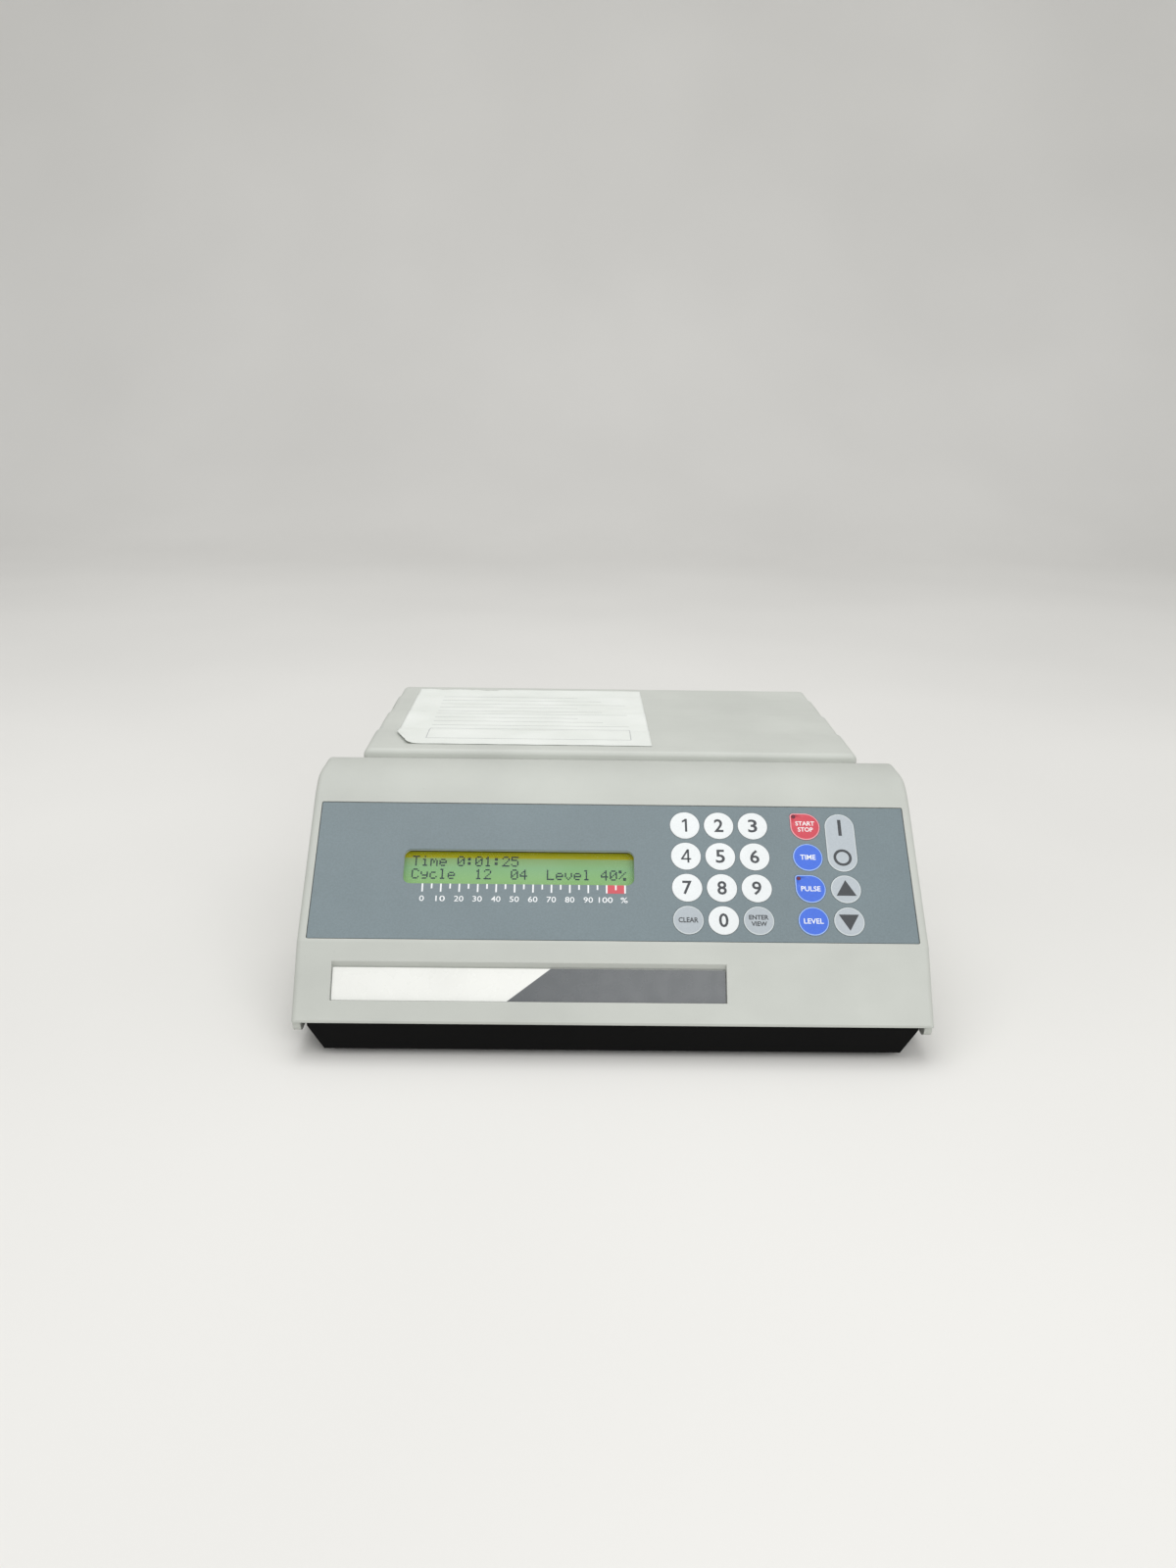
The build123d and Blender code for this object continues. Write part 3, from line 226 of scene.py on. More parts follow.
def glossyPart(name, rgb, rough=0.25, depth=0.01 * mm, size=2 * mm):
    material, tree, shader, place = startMaterial(name)
    tint = colour(*rgb)
    cloud = noiseOf(tree, place, size, 3)
    feed(tree, shader, {
        "Base Color": fadeOf(tree, cloud, shade(tint, 0.86), tint),
        "Roughness": rangeOf(tree, cloud, rough - 0.06, rough + 0.1),
    })
    bumpOf(tree, shader, cloud, depth, 0.2 * mm)
    return material


# Lacquered circuit board with lighter tracks under the lacquer
def boardLacquer(name):
    material, tree, shader, place = startMaterial(name)
    tracks = nodeOf(tree, "ShaderNodeTexBrick", {
        "Vector": place,
        "Scale": 60,
        "Color1": colour(18, 92, 50),
        "Color2": colour(14, 74, 42),
        "Mortar": colour(40, 130, 76),
    })
    rough = rangeOf(tree, noiseOf(tree, place, 3 * mm), 0.25, 0.4)
    feed(tree, shader, {"Base Color": tracks.outputs["Color"], "Roughness": rough})
    return material


# Two-colour name plate: white on the left, grey on the right, parted along a slant
def twoTonePlate(name):
    size = dict(splitFoot=-42.1 * mm, splitLean=17.4 * mm, edge=0.25 * mm, cloud=22 * mm, mark=6 * mm)
    low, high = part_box("name_plate")
    material, tree, shader, place = startMaterial(name)
    lean = size["splitLean"] / (high.z - low.z)
    across = dotOf(tree, place, (1, 0, -lean))
    past = mathOf(tree, "SUBTRACT", across, size["splitFoot"] - lean * low.z)
    step = mathOf(tree, "DIVIDE", past, size["edge"])
    side = fadeOf(tree, step, colour(232, 233, 229), colour(84, 88, 91), 0.0, 1.0)
    cloud = fadeOf(tree, noiseOf(tree, place, size["cloud"], 4), shade(white, 0.95), white)
    feed(tree, shader, {
        "Base Color": mixOf(tree, 1.0, side, cloud, "MULTIPLY"),
        "Roughness": rangeOf(tree, noiseOf(tree, place, size["mark"], 5), 0.18, 0.36),
    })
    bumpOf(tree, shader, noiseOf(tree, place, 1.2 * mm, 2), 0.004 * mm)
    return material


# Display glass: green, with an olive band where the window's upper edge shades it
def displayGlass(name):
    size = dict(low=26.3 * mm, height=15.1 * mm, glow=0.2, cloud=26 * mm)
    material, tree, shader, place = startMaterial(name)
    foot = panelOrigin.dot(panelUp) + size["low"]
    above = mathOf(tree, "SUBTRACT", dotOf(tree, place, panelUp), foot)
    stops = [
        (0.0, colour(142, 184, 122)),
        (0.5, colour(134, 176, 132)),
        (0.76, colour(142, 172, 118)),
        (0.80, colour(172, 166, 12)),
        (0.98, colour(140, 140, 8)),
    ]
    bands = rampOf(tree, mathOf(tree, "DIVIDE", above, size["height"]), stops)
    cloud = fadeOf(tree, noiseOf(tree, place, size["cloud"], 2), (0.92, 0.97, 0.86, 1), white)
    both = mixOf(tree, 1.0, bands, cloud, "MULTIPLY")
    feed(tree, shader, {
        "Base Color": both,
        "Emission Color": both,
        "Emission Strength": size["glow"],
        "Roughness": 0.5,
        "Specular IOR Level": 0.2,
    })
    return material


def clearPane(name):
    material, tree, shader, place = startMaterial(name)
    cloud = noiseOf(tree, place, 20 * mm, 3)
    feed(tree, shader, {
        "Base Color": fadeOf(tree, cloud, (0.02, 0.025, 0.02, 1), (0.04, 0.04, 0.04, 1)),
        "Alpha": 0.06,
        "Roughness": rangeOf(tree, noiseOf(tree, place, 5 * mm, 5), 0.06, 0.16),
    })
    return material


# Label paper: white, slightly fibrous and a little yellowed
def labelPaper(name):
    material, tree, shader, place = startMaterial(name)
    fibre = noiseOf(tree, place, 0.6 * mm, 4, (1, 3, 1))
    light = colour(233, 236, 232)
    lines = fadeOf(tree, fibre, colour(217, 221, 217), light)
    cloud = fadeOf(tree, noiseOf(tree, place, 24 * mm, 3), colour(217, 221, 215), light)
    feed(tree, shader, {"Base Color": mixOf(tree, 0.6, lines, cloud), "Roughness": 0.55})
    bumpOf(tree, shader, fibre, 0.02 * mm)
    return material


print("materials")
recipes = (
    (mouldedPlastic, {
        "front_console": ("housingGrey", (187, 190, 184)),
        "rear_cover": ("coverGrey", (194, 197, 191), 0.45 * mm, 0.02 * mm, (0.42, 0.58), 0.5),
        "base_tray": ("trayBlack", (13, 13, 13), 0.3 * mm, 0.03 * mm, (0.42, 0.58), 0.9, 0.07),
        "rubber_feet": ("footRubber", (30, 30, 31), 0.5 * mm, 0.04 * mm, (0.7, 0.85)),
        "rear_plate": ("rearPlatePaint", (186, 189, 185), 0.6 * mm, 0.03 * mm, (0.35, 0.5)),
        "fan_frame": ("fanFrameBlack", (22, 22, 23), 0.5 * mm, 0.01 * mm, (0.35, 0.5)),
        "fan_rotor": ("fanRotorBlack", (30, 30, 31), 0.5 * mm, 0.01 * mm, (0.3, 0.45)),
        "inlet_socket": ("inletBlack", (20, 20, 21), 0.4 * mm, 0.015 * mm, (0.3, 0.42)),
        "fuse_drawer": ("drawerBlack", (24, 24, 25), 0.4 * mm, 0.015 * mm, (0.32, 0.45)),
        "footswitch_jack": ("jackBlack", (26, 26, 27), 0.4 * mm, 0.01 * mm, (0.35, 0.5)),
        "lcd_frame": ("displayFrame", (28, 28, 30), 0.6 * mm, 0.01 * mm, (0.3, 0.45)),
    }),
    (brushedMetal, {
        "foot_screws": ("footScrewSteel", (170, 170, 168)),
        "case_screws": ("caseScrewSteel", (160, 160, 158)),
        "plate_screws": ("plateScrewSteel", (178, 178, 175)),
        "fan_guard": ("guardWire", (205, 205, 205), 0.2, (1, 1, 1)),
        "fan_screws": ("fanScrewSteel", (60, 60, 60)),
        "inlet_blades": ("bladeNickel", (212, 208, 196), 0.25),
        "fuse": ("fuseCaps", (200, 200, 196), 0.25),
        "converter_socket": ("jackNickel", (206, 203, 194), 0.24),
        "socket_contact": ("contactGold", (226, 184, 98), 0.2),
        "socket_nuts": ("nutNickel", (200, 198, 190), 0.28),
        "data_socket": ("dataShell", (200, 200, 196), 0.28),
        "jack_posts": ("postNickel", (206, 204, 196), 0.25),
        "snap_domes": ("domeSteel", (200, 200, 198), 0.2),
        "board_screws": ("boardScrewSteel", (190, 190, 186)),
        "heat_sink": ("sinkAluminium", (196, 197, 200), 0.4, (1, 10, 1)),
        "transformer_bolt": ("boltSteel", (190, 190, 186)),
    }),
    (glossyPart, {
        "socket_insulator": ("insulatorWhite", (232, 230, 222), 0.4),
        "power_transistors": ("transistorBlack", (26, 26, 28), 0.5),
        "capacitors": ("capacitorSleeve", (28, 40, 78), 0.25),
        "output_transformer": ("ferriteGrey", (52, 50, 48), 0.6, 0.03 * mm, 1 * mm),
        "choke": ("chokeWinding", (150, 92, 40), 0.3, 0.1 * mm, 1 * mm),
        "mains_transformer": ("windingTape", (196, 170, 60), 0.3, 0.1 * mm, 3 * mm),
    }),
    (printedFilm, {
        "panel_overlay": ("overlaySlate", (114, 128, 133), 0.05, 0.4),
        "keypad_circuit": ("circuitFilm", (200, 206, 210), 0.06, 0.3),
    }),
    (boardLacquer, {"lcd_board": ("displayBoard",), "main_board": ("mainBoard",)}),
    (twoTonePlate, {"name_plate": ("namePlateFilm",)}),
    (clearPane, {"display_window": ("windowPane",)}),
    (displayGlass, {"lcd_glass": ("displayGlass",)}),
    (labelPaper, {"top_label": ("labelPaper",)}),
)
finishes = {node: make(*values) for make, table in recipes for node, values in table.items()}
for node, material in finishes.items():
    nodes[node].data.materials.clear()
    nodes[node].data.materials.append(material)
inkTints = {
    "digitWhite": ((226, 230, 231), 0.02),
    "functionRed": ((200, 70, 84), 0.04),
    "functionBlue": ((66, 108, 214), 0.04),
    "buttonGrey": ((172, 180, 186), 0.03),
    "buttonLight": ((176, 184, 190), 0.03),
    "rimRed": ((226, 160, 168), 0.02),
    "rimBlue": ((150, 180, 232), 0.02),
    "rimGrey": ((196, 204, 206), 0.02),
    "legendDark": ((62, 66, 70), 0.03, 0.4),
    "legendWhite": ((238, 240, 241), 0.02, 0.4),
    "scaleRed": ((200, 80, 90), 0.03, 0.4),
    "displayDark": ((20, 42, 62), 0.03, 0.5),
    "ruleGrey": ((176, 178, 178), 0.05, 0.5),
}
inks = {name: printedFilm(name, *values) for name, values in inkTints.items()}
inks["lampDark"] = glossyPart("lampDark", (110, 44, 60), 0.2)


# Helpers for the pieces
def plainObject(name, data, material=None):
    piece = bpy.data.objects.new(name, data)
    bpy.context.scene.collection.objects.link(piece)
    if material is not None:
        data.materials.clear()
        data.materials.append(material)
    return piece


def plainMesh(source, place=None):
    bpy.context.view_layer.update()
    view = bpy.context.evaluated_depsgraph_get()
    mesh = bpy.data.meshes.new_from_object(source.evaluated_get(view), depsgraph=view)
    if place is not None:
        mesh.transform(place)
    bpy.data.objects.remove(source)
    return mesh


def meshFrom(built, name, materials=(), place=None):
    mesh = bpy.data.meshes.new(name)
    built.to_mesh(mesh)
    built.free()
    if place is not None:
        mesh.transform(place)
    for material in materials:
        mesh.materials.append(material)
    return mesh


# Rings of points joined in turn: a hollow shape joins the last to the first, a solid one gets end faces
def loftMesh(name, rings, materials=(), place=None, hollow=False, bands=None):
    built = bmesh.new()
    loops = [[built.verts.new(point) for point in ring] for ring in rings]
    for k, (lower, upper) in enumerate(zip(loops, loops[1:] + loops[:1] if hollow else loops[1:])):
        for i, vert in enumerate(lower):
            j = (i + 1) % len(lower)
            face = built.faces.new((vert, lower[j], upper[j], upper[i]))
            if bands:
                face.material_index = bands[k]
                face.smooth = True
    if not hollow:
        built.faces.new(loops[-1]).material_index = bands[-1] if bands else 0
        built.faces.new(loops[0][::-1])
    bmesh.ops.recalc_face_normals(built, faces=built.faces)
    return meshFrom(built, name, materials, place)


def joinMeshes(name, meshes):
    built = bmesh.new()
    materials = []
    for mesh in meshes:
        start = len(built.faces)
        built.from_mesh(mesh)
        built.faces.ensure_lookup_table()
        for material in mesh.materials:
            if material not in materials:
                materials.append(material)
        for face in built.faces[start:]:
            face.material_index = materials.index(mesh.materials[face.material_index])
    return meshFrom(built, name, materials)


def flatShape(points, depth, place, material):
    rings = [[(x, y, z) for x, y in points] for z in (0, depth)]
    return loftMesh("plate", rings, [material], place)


def arcPoints(centre, radius, first, last, count):
    turns = [radians(first + (last - first) * i / count) for i in range(count + 1)]
    return [(centre[0] + radius * cos(turn), centre[1] + radius * sin(turn)) for turn in turns]


def circlePoints(radius, count):
    return arcPoints((0, 0), radius, 0, 360, count)[:-1]


def ringShape(radius, width, depth, place, material):
    profile = ((radius, 0), (radius, depth), (radius - width, depth), (radius - width, 0))
    rings = [[(x, y, z) for x, y in circlePoints(r, 40)] for r, z in profile]
    return loftMesh("ring", rings, [material], place, hollow=True)


def panelPlace(x, up, lift=0.0):
    return Matrix.Translation(panelPoint(x, up, lift)) @ panelTurn.to_4x4()


# Lettering as a thin closed mesh, centred on its place and fitted to a height and a width
def textMesh(words, height, width, place, material, depth=0.04 * mm, weight=0.0):
    curve = bpy.data.curves.new("words", "FONT")
    curve.body = words
    curve.size = height / 0.73  # capitals fill that share of the font's size
    curve.extrude = depth / 2
    curve.offset = weight
    curve.resolution_u = 3
    mesh = plainMesh(plainObject("words", curve))
    low = [min(v.co[axis] for v in mesh.vertices) for axis in (0, 1)]
    high = [max(v.co[axis] for v in mesh.vertices) for axis in (0, 1)]
    centre = Matrix.Translation((-(low[0] + high[0]) / 2, -(low[1] + high[1]) / 2, 0))
    fit = Matrix.Diagonal((width / (high[0] - low[0]), height / (high[1] - low[1]), 1, 1))
    mesh.transform(place @ fit @ centre)
    mesh.materials.clear()
    mesh.materials.append(material)
    return mesh


def geometryTree(name, labels):
    tree = bpy.data.node_groups.new(name, "GeometryNodeTree")
    for way in ("INPUT", "OUTPUT"):
        tree.interface.new_socket("Geometry", in_out=way, socket_type="NodeSocketGeometry")
    for label in labels:
        tree.interface.new_socket(label, in_out="INPUT", socket_type="NodeSocketFloat").default_value = mm
    return tree, tree.nodes.new("NodeGroupInput").outputs


def closeTree(tree, geometry, material):
    realize = nodeOf(tree, "GeometryNodeRealizeInstances", {"Geometry": geometry})
    values = {"Geometry": realize.outputs["Geometry"], "Material": material}
    painted = nodeOf(tree, "GeometryNodeSetMaterial", values).outputs["Geometry"]
    nodeOf(tree, "NodeGroupOutput", {"Geometry": painted})
    return tree


def runTree(tree, points, values, place=None):
    cloud = bpy.data.meshes.new("points")
    cloud.from_pydata([tuple(p) for p in points], [], [])
    source = plainObject("points", cloud)
    modifier = source.modifiers.new("tree", "NODES")
    modifier.node_group = tree
    for item in tree.interface.items_tree:
        if item.item_type == "SOCKET" and item.in_out == "INPUT" and item.name in values:
            modifier[item.identifier] = values[item.name]
    return plainMesh(source, place)


# A small block on every point: ticks of the scale, dots of the display
def blockTree(name, material):
    labels = ("Width", "Height", "Depth")
    tree, start = geometryTree(name, labels)
    size = nodeOf(tree, "ShaderNodeCombineXYZ", {k: start[label] for k, label in enumerate(labels)})
    block = nodeOf(tree, "GeometryNodeMeshCube", {"Size": size.outputs[0]})
    values = {"Points": start["Geometry"], "Instance": block.outputs["Mesh"]}
    scatter = nodeOf(tree, "GeometryNodeInstanceOnPoints", values)
    return closeTree(tree, scatter.outputs["Instances"], material)


# Keys: pillow caps with a printed outline, one for each key node
print("keys")
keySizes = dict(
    radius=6.05 * mm, tip=1.5 * mm, sharpest=0.25 * mm, pillLength=26.0 * mm,
    skirt=0.22 * mm, crown=0.25 * mm, shoulder=0.14 * mm, outline=0.3 * mm, dish=(0.9 * mm, 1.6 * mm),
    digit=(5.9 * mm, 3.75 * mm), word=(2.2 * mm, 1.56 * mm), linePitch=2.75 * mm, twoLines=0.9,
    ink=0.03 * mm, inkGap=0.005 * mm, digitWeight=0.13 * mm, darkWeight=0.07 * mm, whiteWeight=0.04 * mm,
    bar=(0.68 * mm, 3.65 * mm, 6.7 * mm), ring=(3.7 * mm, 1.1 * mm, -6.8 * mm),
    arrow=(4.0 * mm, 2.9 * mm, 3.9 * mm),
    lampShift=4.5 * mm, lampRadius=0.75 * mm, lampGap=0.12 * mm, lampDepth=0.2 * mm, lampSunk=0.03 * mm,
)
keyStyles = {
    "key_start_stop": ("functionRed", "rimRed", ("START", "STOP"), "legendWhite"),
    "key_timer": ("functionBlue", "rimBlue", ("TIME",), "legendWhite"),
    "key_pulser": ("functionBlue", "rimBlue", ("PULSE",), "legendWhite"),
    "key_ampl": ("functionBlue", "rimBlue", ("LEVEL",), "legendWhite"),
    "key_clear": ("buttonGrey", "rimGrey", ("CLEAR",), "legendDark"),
    "key_enter": ("buttonGrey", "rimGrey", ("ENTER", "VIEW"), "legendDark"),
    "key_power": ("buttonLight", "rimGrey", (), "legendDark"),
    "key_up": ("buttonLight", "rimGrey", (), "legendDark"),
    "key_down": ("buttonLight", "rimGrey", (), "legendDark"),
}
for digit in "0123456789":
    keyStyles["key_" + digit] = ("digitWhite", "digitWhite", (digit,), "legendDark")


def keyShape(name):
    if name == "key_power":
        return "pill"
    return "drop" if name in ("key_start_stop", "key_pulser") else "disc"


def keyOutline(shape, inset):
    radius = keySizes["radius"] - inset
    if shape == "pill":
        reach = keySizes["pillLength"] / 2 - keySizes["radius"]
        return arcPoints((0, reach), radius, 0, 180, 30) + arcPoints((0, -reach), radius, 180, 360, 30)
    if shape == "drop":
        tip = max(keySizes["tip"] - inset, keySizes["sharpest"])
        corner = (-radius + tip, radius - tip)
        return arcPoints((0, 0), radius, 180, 450, 48) + arcPoints(corner, tip, 90, 180, 10)
    return circlePoints(radius, 60)


# A pillow: short upright skirt, rounded shoulder, outline band, then a nearly flat crown
def keyCap(name, faceInk, rimInk):
    crown, shoulder = keySizes["crown"], keySizes["shoulder"]
    steps = [  # inset, height, and 0 for the rim's ink or 1 for the face's
        (0.0, -keySizes["skirt"], 0), (0.0, crown * 0.35, 0), (0.05 * mm, crown * 0.6, 0),
        (shoulder, crown * 0.78, 0), (shoulder + keySizes["outline"], crown * 0.9, 0),
        (keySizes["dish"][0], crown * 0.96, 1), (keySizes["dish"][1], crown, 1),
    ]
    rings = [[(x, y, lift) for x, y in keyOutline(keyShape(name), inset)] for inset, lift, _ in steps]
    bands = [band for _, _, band in steps[1:]]
    materials = [inks[rimInk], inks[faceInk]]
    return loftMesh(name + "_cap", rings, materials, panelPlace(*keyPlace(name)), bands=bands)


# Two figures are given as outlines, as shares of their height: the font's own fill in or lack a flag
drawnFigures = {
    "1": [[(0.16, -0.5), (0.16, 0.5), (0.03, 0.5), (-0.19, 0.34), (-0.19, 0.2), (0.01, 0.3), (0.01, -0.5)]],
    "4": [
        [(0.09, -0.5), (0.22, -0.5), (0.22, 0.5), (0.09, 0.5)],
        [(-0.34, -0.28), (0.35, -0.28), (0.35, -0.165), (-0.34, -0.165)],
        [(-0.34, -0.2), (-0.2, -0.2), (0.15, 0.36), (0.15, 0.5), (0.08, 0.5)],
    ],
}


# What is printed on a key: lettering, or the signs of the power and arrow keys
def keyMarks(name, words, ink):
    x, up = keyPlace(name)
    lift, thick = keySizes["crown"] + keySizes["inkGap"], keySizes["ink"]
    material = inks[ink]
    if name == "key_power":
        half, reach, barUp = keySizes["bar"]
        radius, width, ringUp = keySizes["ring"]
        bar = [(-half, -reach), (half, -reach), (half, reach), (-half, reach)]
        return [
            flatShape(bar, thick, panelPlace(x, up + barUp, lift), material),
            ringShape(radius, width, thick, panelPlace(x, up + ringUp, lift), material),
        ]
    if name in ("key_up", "key_down"):
        half, foot, tip = keySizes["arrow"]
        way = 1 if name == "key_up" else -1
        points = [(-half, -foot * way), (half, -foot * way), (0, tip * way)]
        return [flatShape(points[::way], thick, panelPlace(x, up, lift), material)]
    if words[0] in drawnFigures:
        height = keySizes["digit"][0]
        outlines = [[(a * height, b * height) for a, b in outline] for outline in drawnFigures[words[0]]]
        return [flatShape(outline, thick, panelPlace(x, up, lift), material) for outline in outlines]
    if len(words[0]) == 1:
        place = panelPlace(x, up, lift + thick / 2)
        return [textMesh(words[0], *keySizes["digit"], place, material, thick, keySizes["digitWeight"])]
    meshes = []
    height = keySizes["word"][0] * (1 if len(words) == 1 else keySizes["twoLines"])
    weight = keySizes["darkWeight" if ink == "legendDark" else "whiteWeight"]  # dark print looks thinner
    for row, word in enumerate(words):
        rise = keySizes["linePitch"] * ((len(words) - 1) / 2 - row)
        place = panelPlace(x, up + rise, lift + thick / 2)
        width = keySizes["word"][1] * len(word)
        meshes.append(textMesh(word, height, width, place, material, thick, weight))
    return meshes


# Cuts the round hole that a lamp stands in
def lampHole(cap, x, up):
    circle = circlePoints(keySizes["lampRadius"] + keySizes["lampGap"], 32)
    cutter = plainObject("cutter", flatShape(circle, 2 * mm, panelPlace(x, up, -mm), inks["lampDark"]))
    cut = cap.modifiers.new("hole", "BOOLEAN")
    cut.operation = "DIFFERENCE"
    cut.solver = "EXACT"
    cut.object = cutter
    mesh = plainMesh(cap)
    bpy.data.objects.remove(cutter)
    return mesh


for name, (faceInk, rimInk, words, legendInk) in keyStyles.items():
    body = name + "_body"
    cap = plainObject(name + "_cap", keyCap(name, faceInk, rimInk))
    if keyShape(name) == "drop":
        x, up = keyPlace(name)
        lampAt = (x - keySizes["lampShift"], up + keySizes["lampShift"])
        cap = plainObject(name + "_cap", lampHole(cap, *lampAt))
        lampPlace = panelPlace(*lampAt, -keySizes["lampSunk"])
        circle = circlePoints(keySizes["lampRadius"], 24)
        lamp = flatShape(circle, keySizes["lampDepth"], lampPlace, inks["lampDark"])
        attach(plainObject(name + "_lamp", lamp), "case")
    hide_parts(name)
    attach(cap, body)
    marks = plainObject(name + "_legend", joinMeshes(name + "_legend", keyMarks(name, words, legendInk)))
    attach(marks, body)

# Level scale under the display
print("scale")
scaleSizes = dict(
    left=-76.0 * mm, step=7.32 * mm, top=25.0 * mm, long=3.5 * mm, short=2.1 * mm, width=0.62 * mm,
    depth=0.06 * mm, lift=0.03 * mm, red=(-2.8 * mm, 4.5 * mm, 21.4 * mm), redGap=0.002 * mm,
    rowUp=18.6 * mm, figure=(2.4 * mm, 1.85 * mm), percentWidth=2.8 * mm, lastShift=0.4 * mm,
    weight=0.012 * mm,
)
tickTree = blockTree("scaleTicks", inks["legendWhite"])


def tickRow(first, count, length):
    up = scaleSizes["top"] - length / 2
    points = [(first + scaleSizes["step"] * i, up, scaleSizes["lift"]) for i in range(count)]
    values = {"Width": scaleSizes["width"], "Height": length, "Depth": scaleSizes["depth"]}
    return runTree(tickTree, points, values, panelPlace(0, 0))


scaleMeshes = [
    tickRow(scaleSizes["left"], 12, scaleSizes["long"]),
    tickRow(scaleSizes["left"] + scaleSizes["step"] / 2, 11, scaleSizes["short"]),
]
for i, words in enumerate([str(10 * i) for i in range(11)] + ["%"]):
    height, width = scaleSizes["figure"]
    width = width * len(words) if words != "%" else scaleSizes["percentWidth"]
    x = scaleSizes["left"] + scaleSizes["step"] * i - (scaleSizes["lastShift"] if i > 9 else 0)
    place = panelPlace(x, scaleSizes["rowUp"], scaleSizes["lift"])
    weight = scaleSizes["weight"]
    scaleMeshes.append(textMesh(words, height, width, place, inks["legendWhite"], weight=weight))
left, right, low = scaleSizes["red"]
block = [(left, low), (right, low), (right, scaleSizes["top"]), (left, scaleSizes["top"])]
blockPlace = panelPlace(0, 0, scaleSizes["redGap"])
scaleMeshes.append(flatShape(block, scaleSizes["lift"], blockPlace, inks["scaleRed"]))
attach(plainObject("level_scale", joinMeshes("level_scale", scaleMeshes)), "case")

# Display characters: five by seven dots each, two rows of twenty-four
print("display")
dotFont = {
    "T": "#####|..#..|..#..|..#..|..#..|..#..|..#..",
    "C": ".###.|#...#|#....|#....|#....|#...#|.###.",
    "L": "#....|#....|#....|#....|#....|#....|#####",
    "i": "..#..|.....|.##..|..#..|..#..|..#..|.###.",
    "m": ".....|.....|##.#.|#.#.#|#.#.#|#...#|#...#",
    "e": ".....|.....|.###.|#...#|#####|#....|.###.",
    "y": ".....|.....|#...#|#...#|.####|....#|.###.",
    "c": ".....|.....|.###.|#....|#....|#...#|.###.",
    "l": ".##..|..#..|..#..|..#..|..#..|..#..|.###.",
    "v": ".....|.....|#...#|#...#|#...#|.#.#.|..#..",
    "0": ".###.|#...#|#..##|#.#.#|##..#|#...#|.###.",
    "1": "..#..|.##..|..#..|..#..|..#..|..#..|.###.",
    "2": ".###.|#...#|....#|...#.|..#..|.#...|#####",
    "4": "...#.|..##.|.#.#.|#..#.|#####|...#.|...#.",
    "5": "#####|#....|####.|....#|....#|#...#|.###.",
    ":": ".....|.##..|.##..|.....|.##..|.##..|.....",
    "%": "##...|##..#|...#.|..#..|.#...|#..##|...##",
}
displaySizes = dict(
    charPitch=3.63 * mm, linePitch=5.7 * mm, dotPitchX=0.6 * mm, dotPitchY=0.65 * mm, dot=0.59 * mm,
    depth=0.02 * mm, gap=0.01 * mm, columns=24, firstDot=0.8, middle=(-37.9 * mm, 33.9 * mm),
    rows=("Time 0:01:25", "Cycle  12  04  Level 40%"),
)


def displayDots():
    size, points = displaySizes, []
    left = size["middle"][0] - size["columns"] / 2 * size["charPitch"]
    for row, words in enumerate(size["rows"]):
        top = size["middle"][1] + size["linePitch"] * (0.5 - row) + 3 * size["dotPitchY"]
        for column, letter in enumerate(words):
            for line, dots in enumerate(dotFont.get(letter, "").split("|")):
                for i, dot in enumerate(dots):
                    if dot == "#":
                        x = left + column * size["charPitch"] + (i + size["firstDot"]) * size["dotPitchX"]
                        points.append((x, top - line * size["dotPitchY"], 0))
    return points


glassPlace = panelPlace(0, 0, spanAlong("lcd_glass", panelOut)[1] - sheetTop + displaySizes["gap"])
dotTree = blockTree("displayDots", inks["displayDark"])
dotValues = {"Width": displaySizes["dot"], "Height": displaySizes["dot"], "Depth": displaySizes["depth"]}
dots = plainObject("display_characters", runTree(dotTree, displayDots(), dotValues, glassPlace))
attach(dots, "case")

# Paper label on the cover: thin, creased, one corner lifted, its back edge torn
print("label")
labelSizes = dict(
    columns=110, rows=104, clip=(6 * mm, 15 * mm), cut=0.99, sheet=0.12 * mm, soften=0.7 * mm,
    margin=0.05 * mm, curlReach=0.9, curlRise=1.3 * mm, curlPower=2.2,
    ripple=0.09 * mm, ripplesX=190, ripplesY=140,
    seed=7, tornColumns=46, tornDepth=2.6, wander=0.9, fray=0.8, cutFray=0.25 * mm,
)
labelLow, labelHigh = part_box("top_label")
labelNode = nodes["top_label"].data
labelFaces = [list(p.vertices) for p in labelNode.polygons]
labelSurface = BVHTree.FromPolygons([v.co for v in labelNode.vertices], labelFaces)


# 1 on the line that cuts the front left corner off, less outside it
def cornerShare(x, y):
    return (x - labelLow.x) / labelSizes["clip"][0] + (y - labelLow.y) / labelSizes["clip"][1]


# Height of the paper: it follows the cover's steps softly, ripples a little and curls at the cut corner
def paperHeight(x, y):
    margin, reach, heights = labelSizes["margin"], labelSizes["curlReach"], []
    column = min(max(x, labelLow.x + margin), labelHigh.x - margin)
    for shift in (-labelSizes["soften"], 0, labelSizes["soften"]):
        sample = min(max(y + shift, labelLow.y + margin), labelHigh.y - margin)
        hit = labelSurface.ray_cast(Vector((column, sample, 1)), Vector((0, 0, -1)))[0]
        heights.append(hit.z if hit is not None else labelHigh.z)
    lift = max(0.0, 1 + reach - cornerShare(x, y)) / reach
    ripple = labelSizes["ripple"] * abs(sin(x * labelSizes["ripplesX"]) * sin(y * labelSizes["ripplesY"]))
    return sum(heights) / 3 + labelSizes["curlRise"] * min(lift, 1.0) ** labelSizes["curlPower"] + ripple


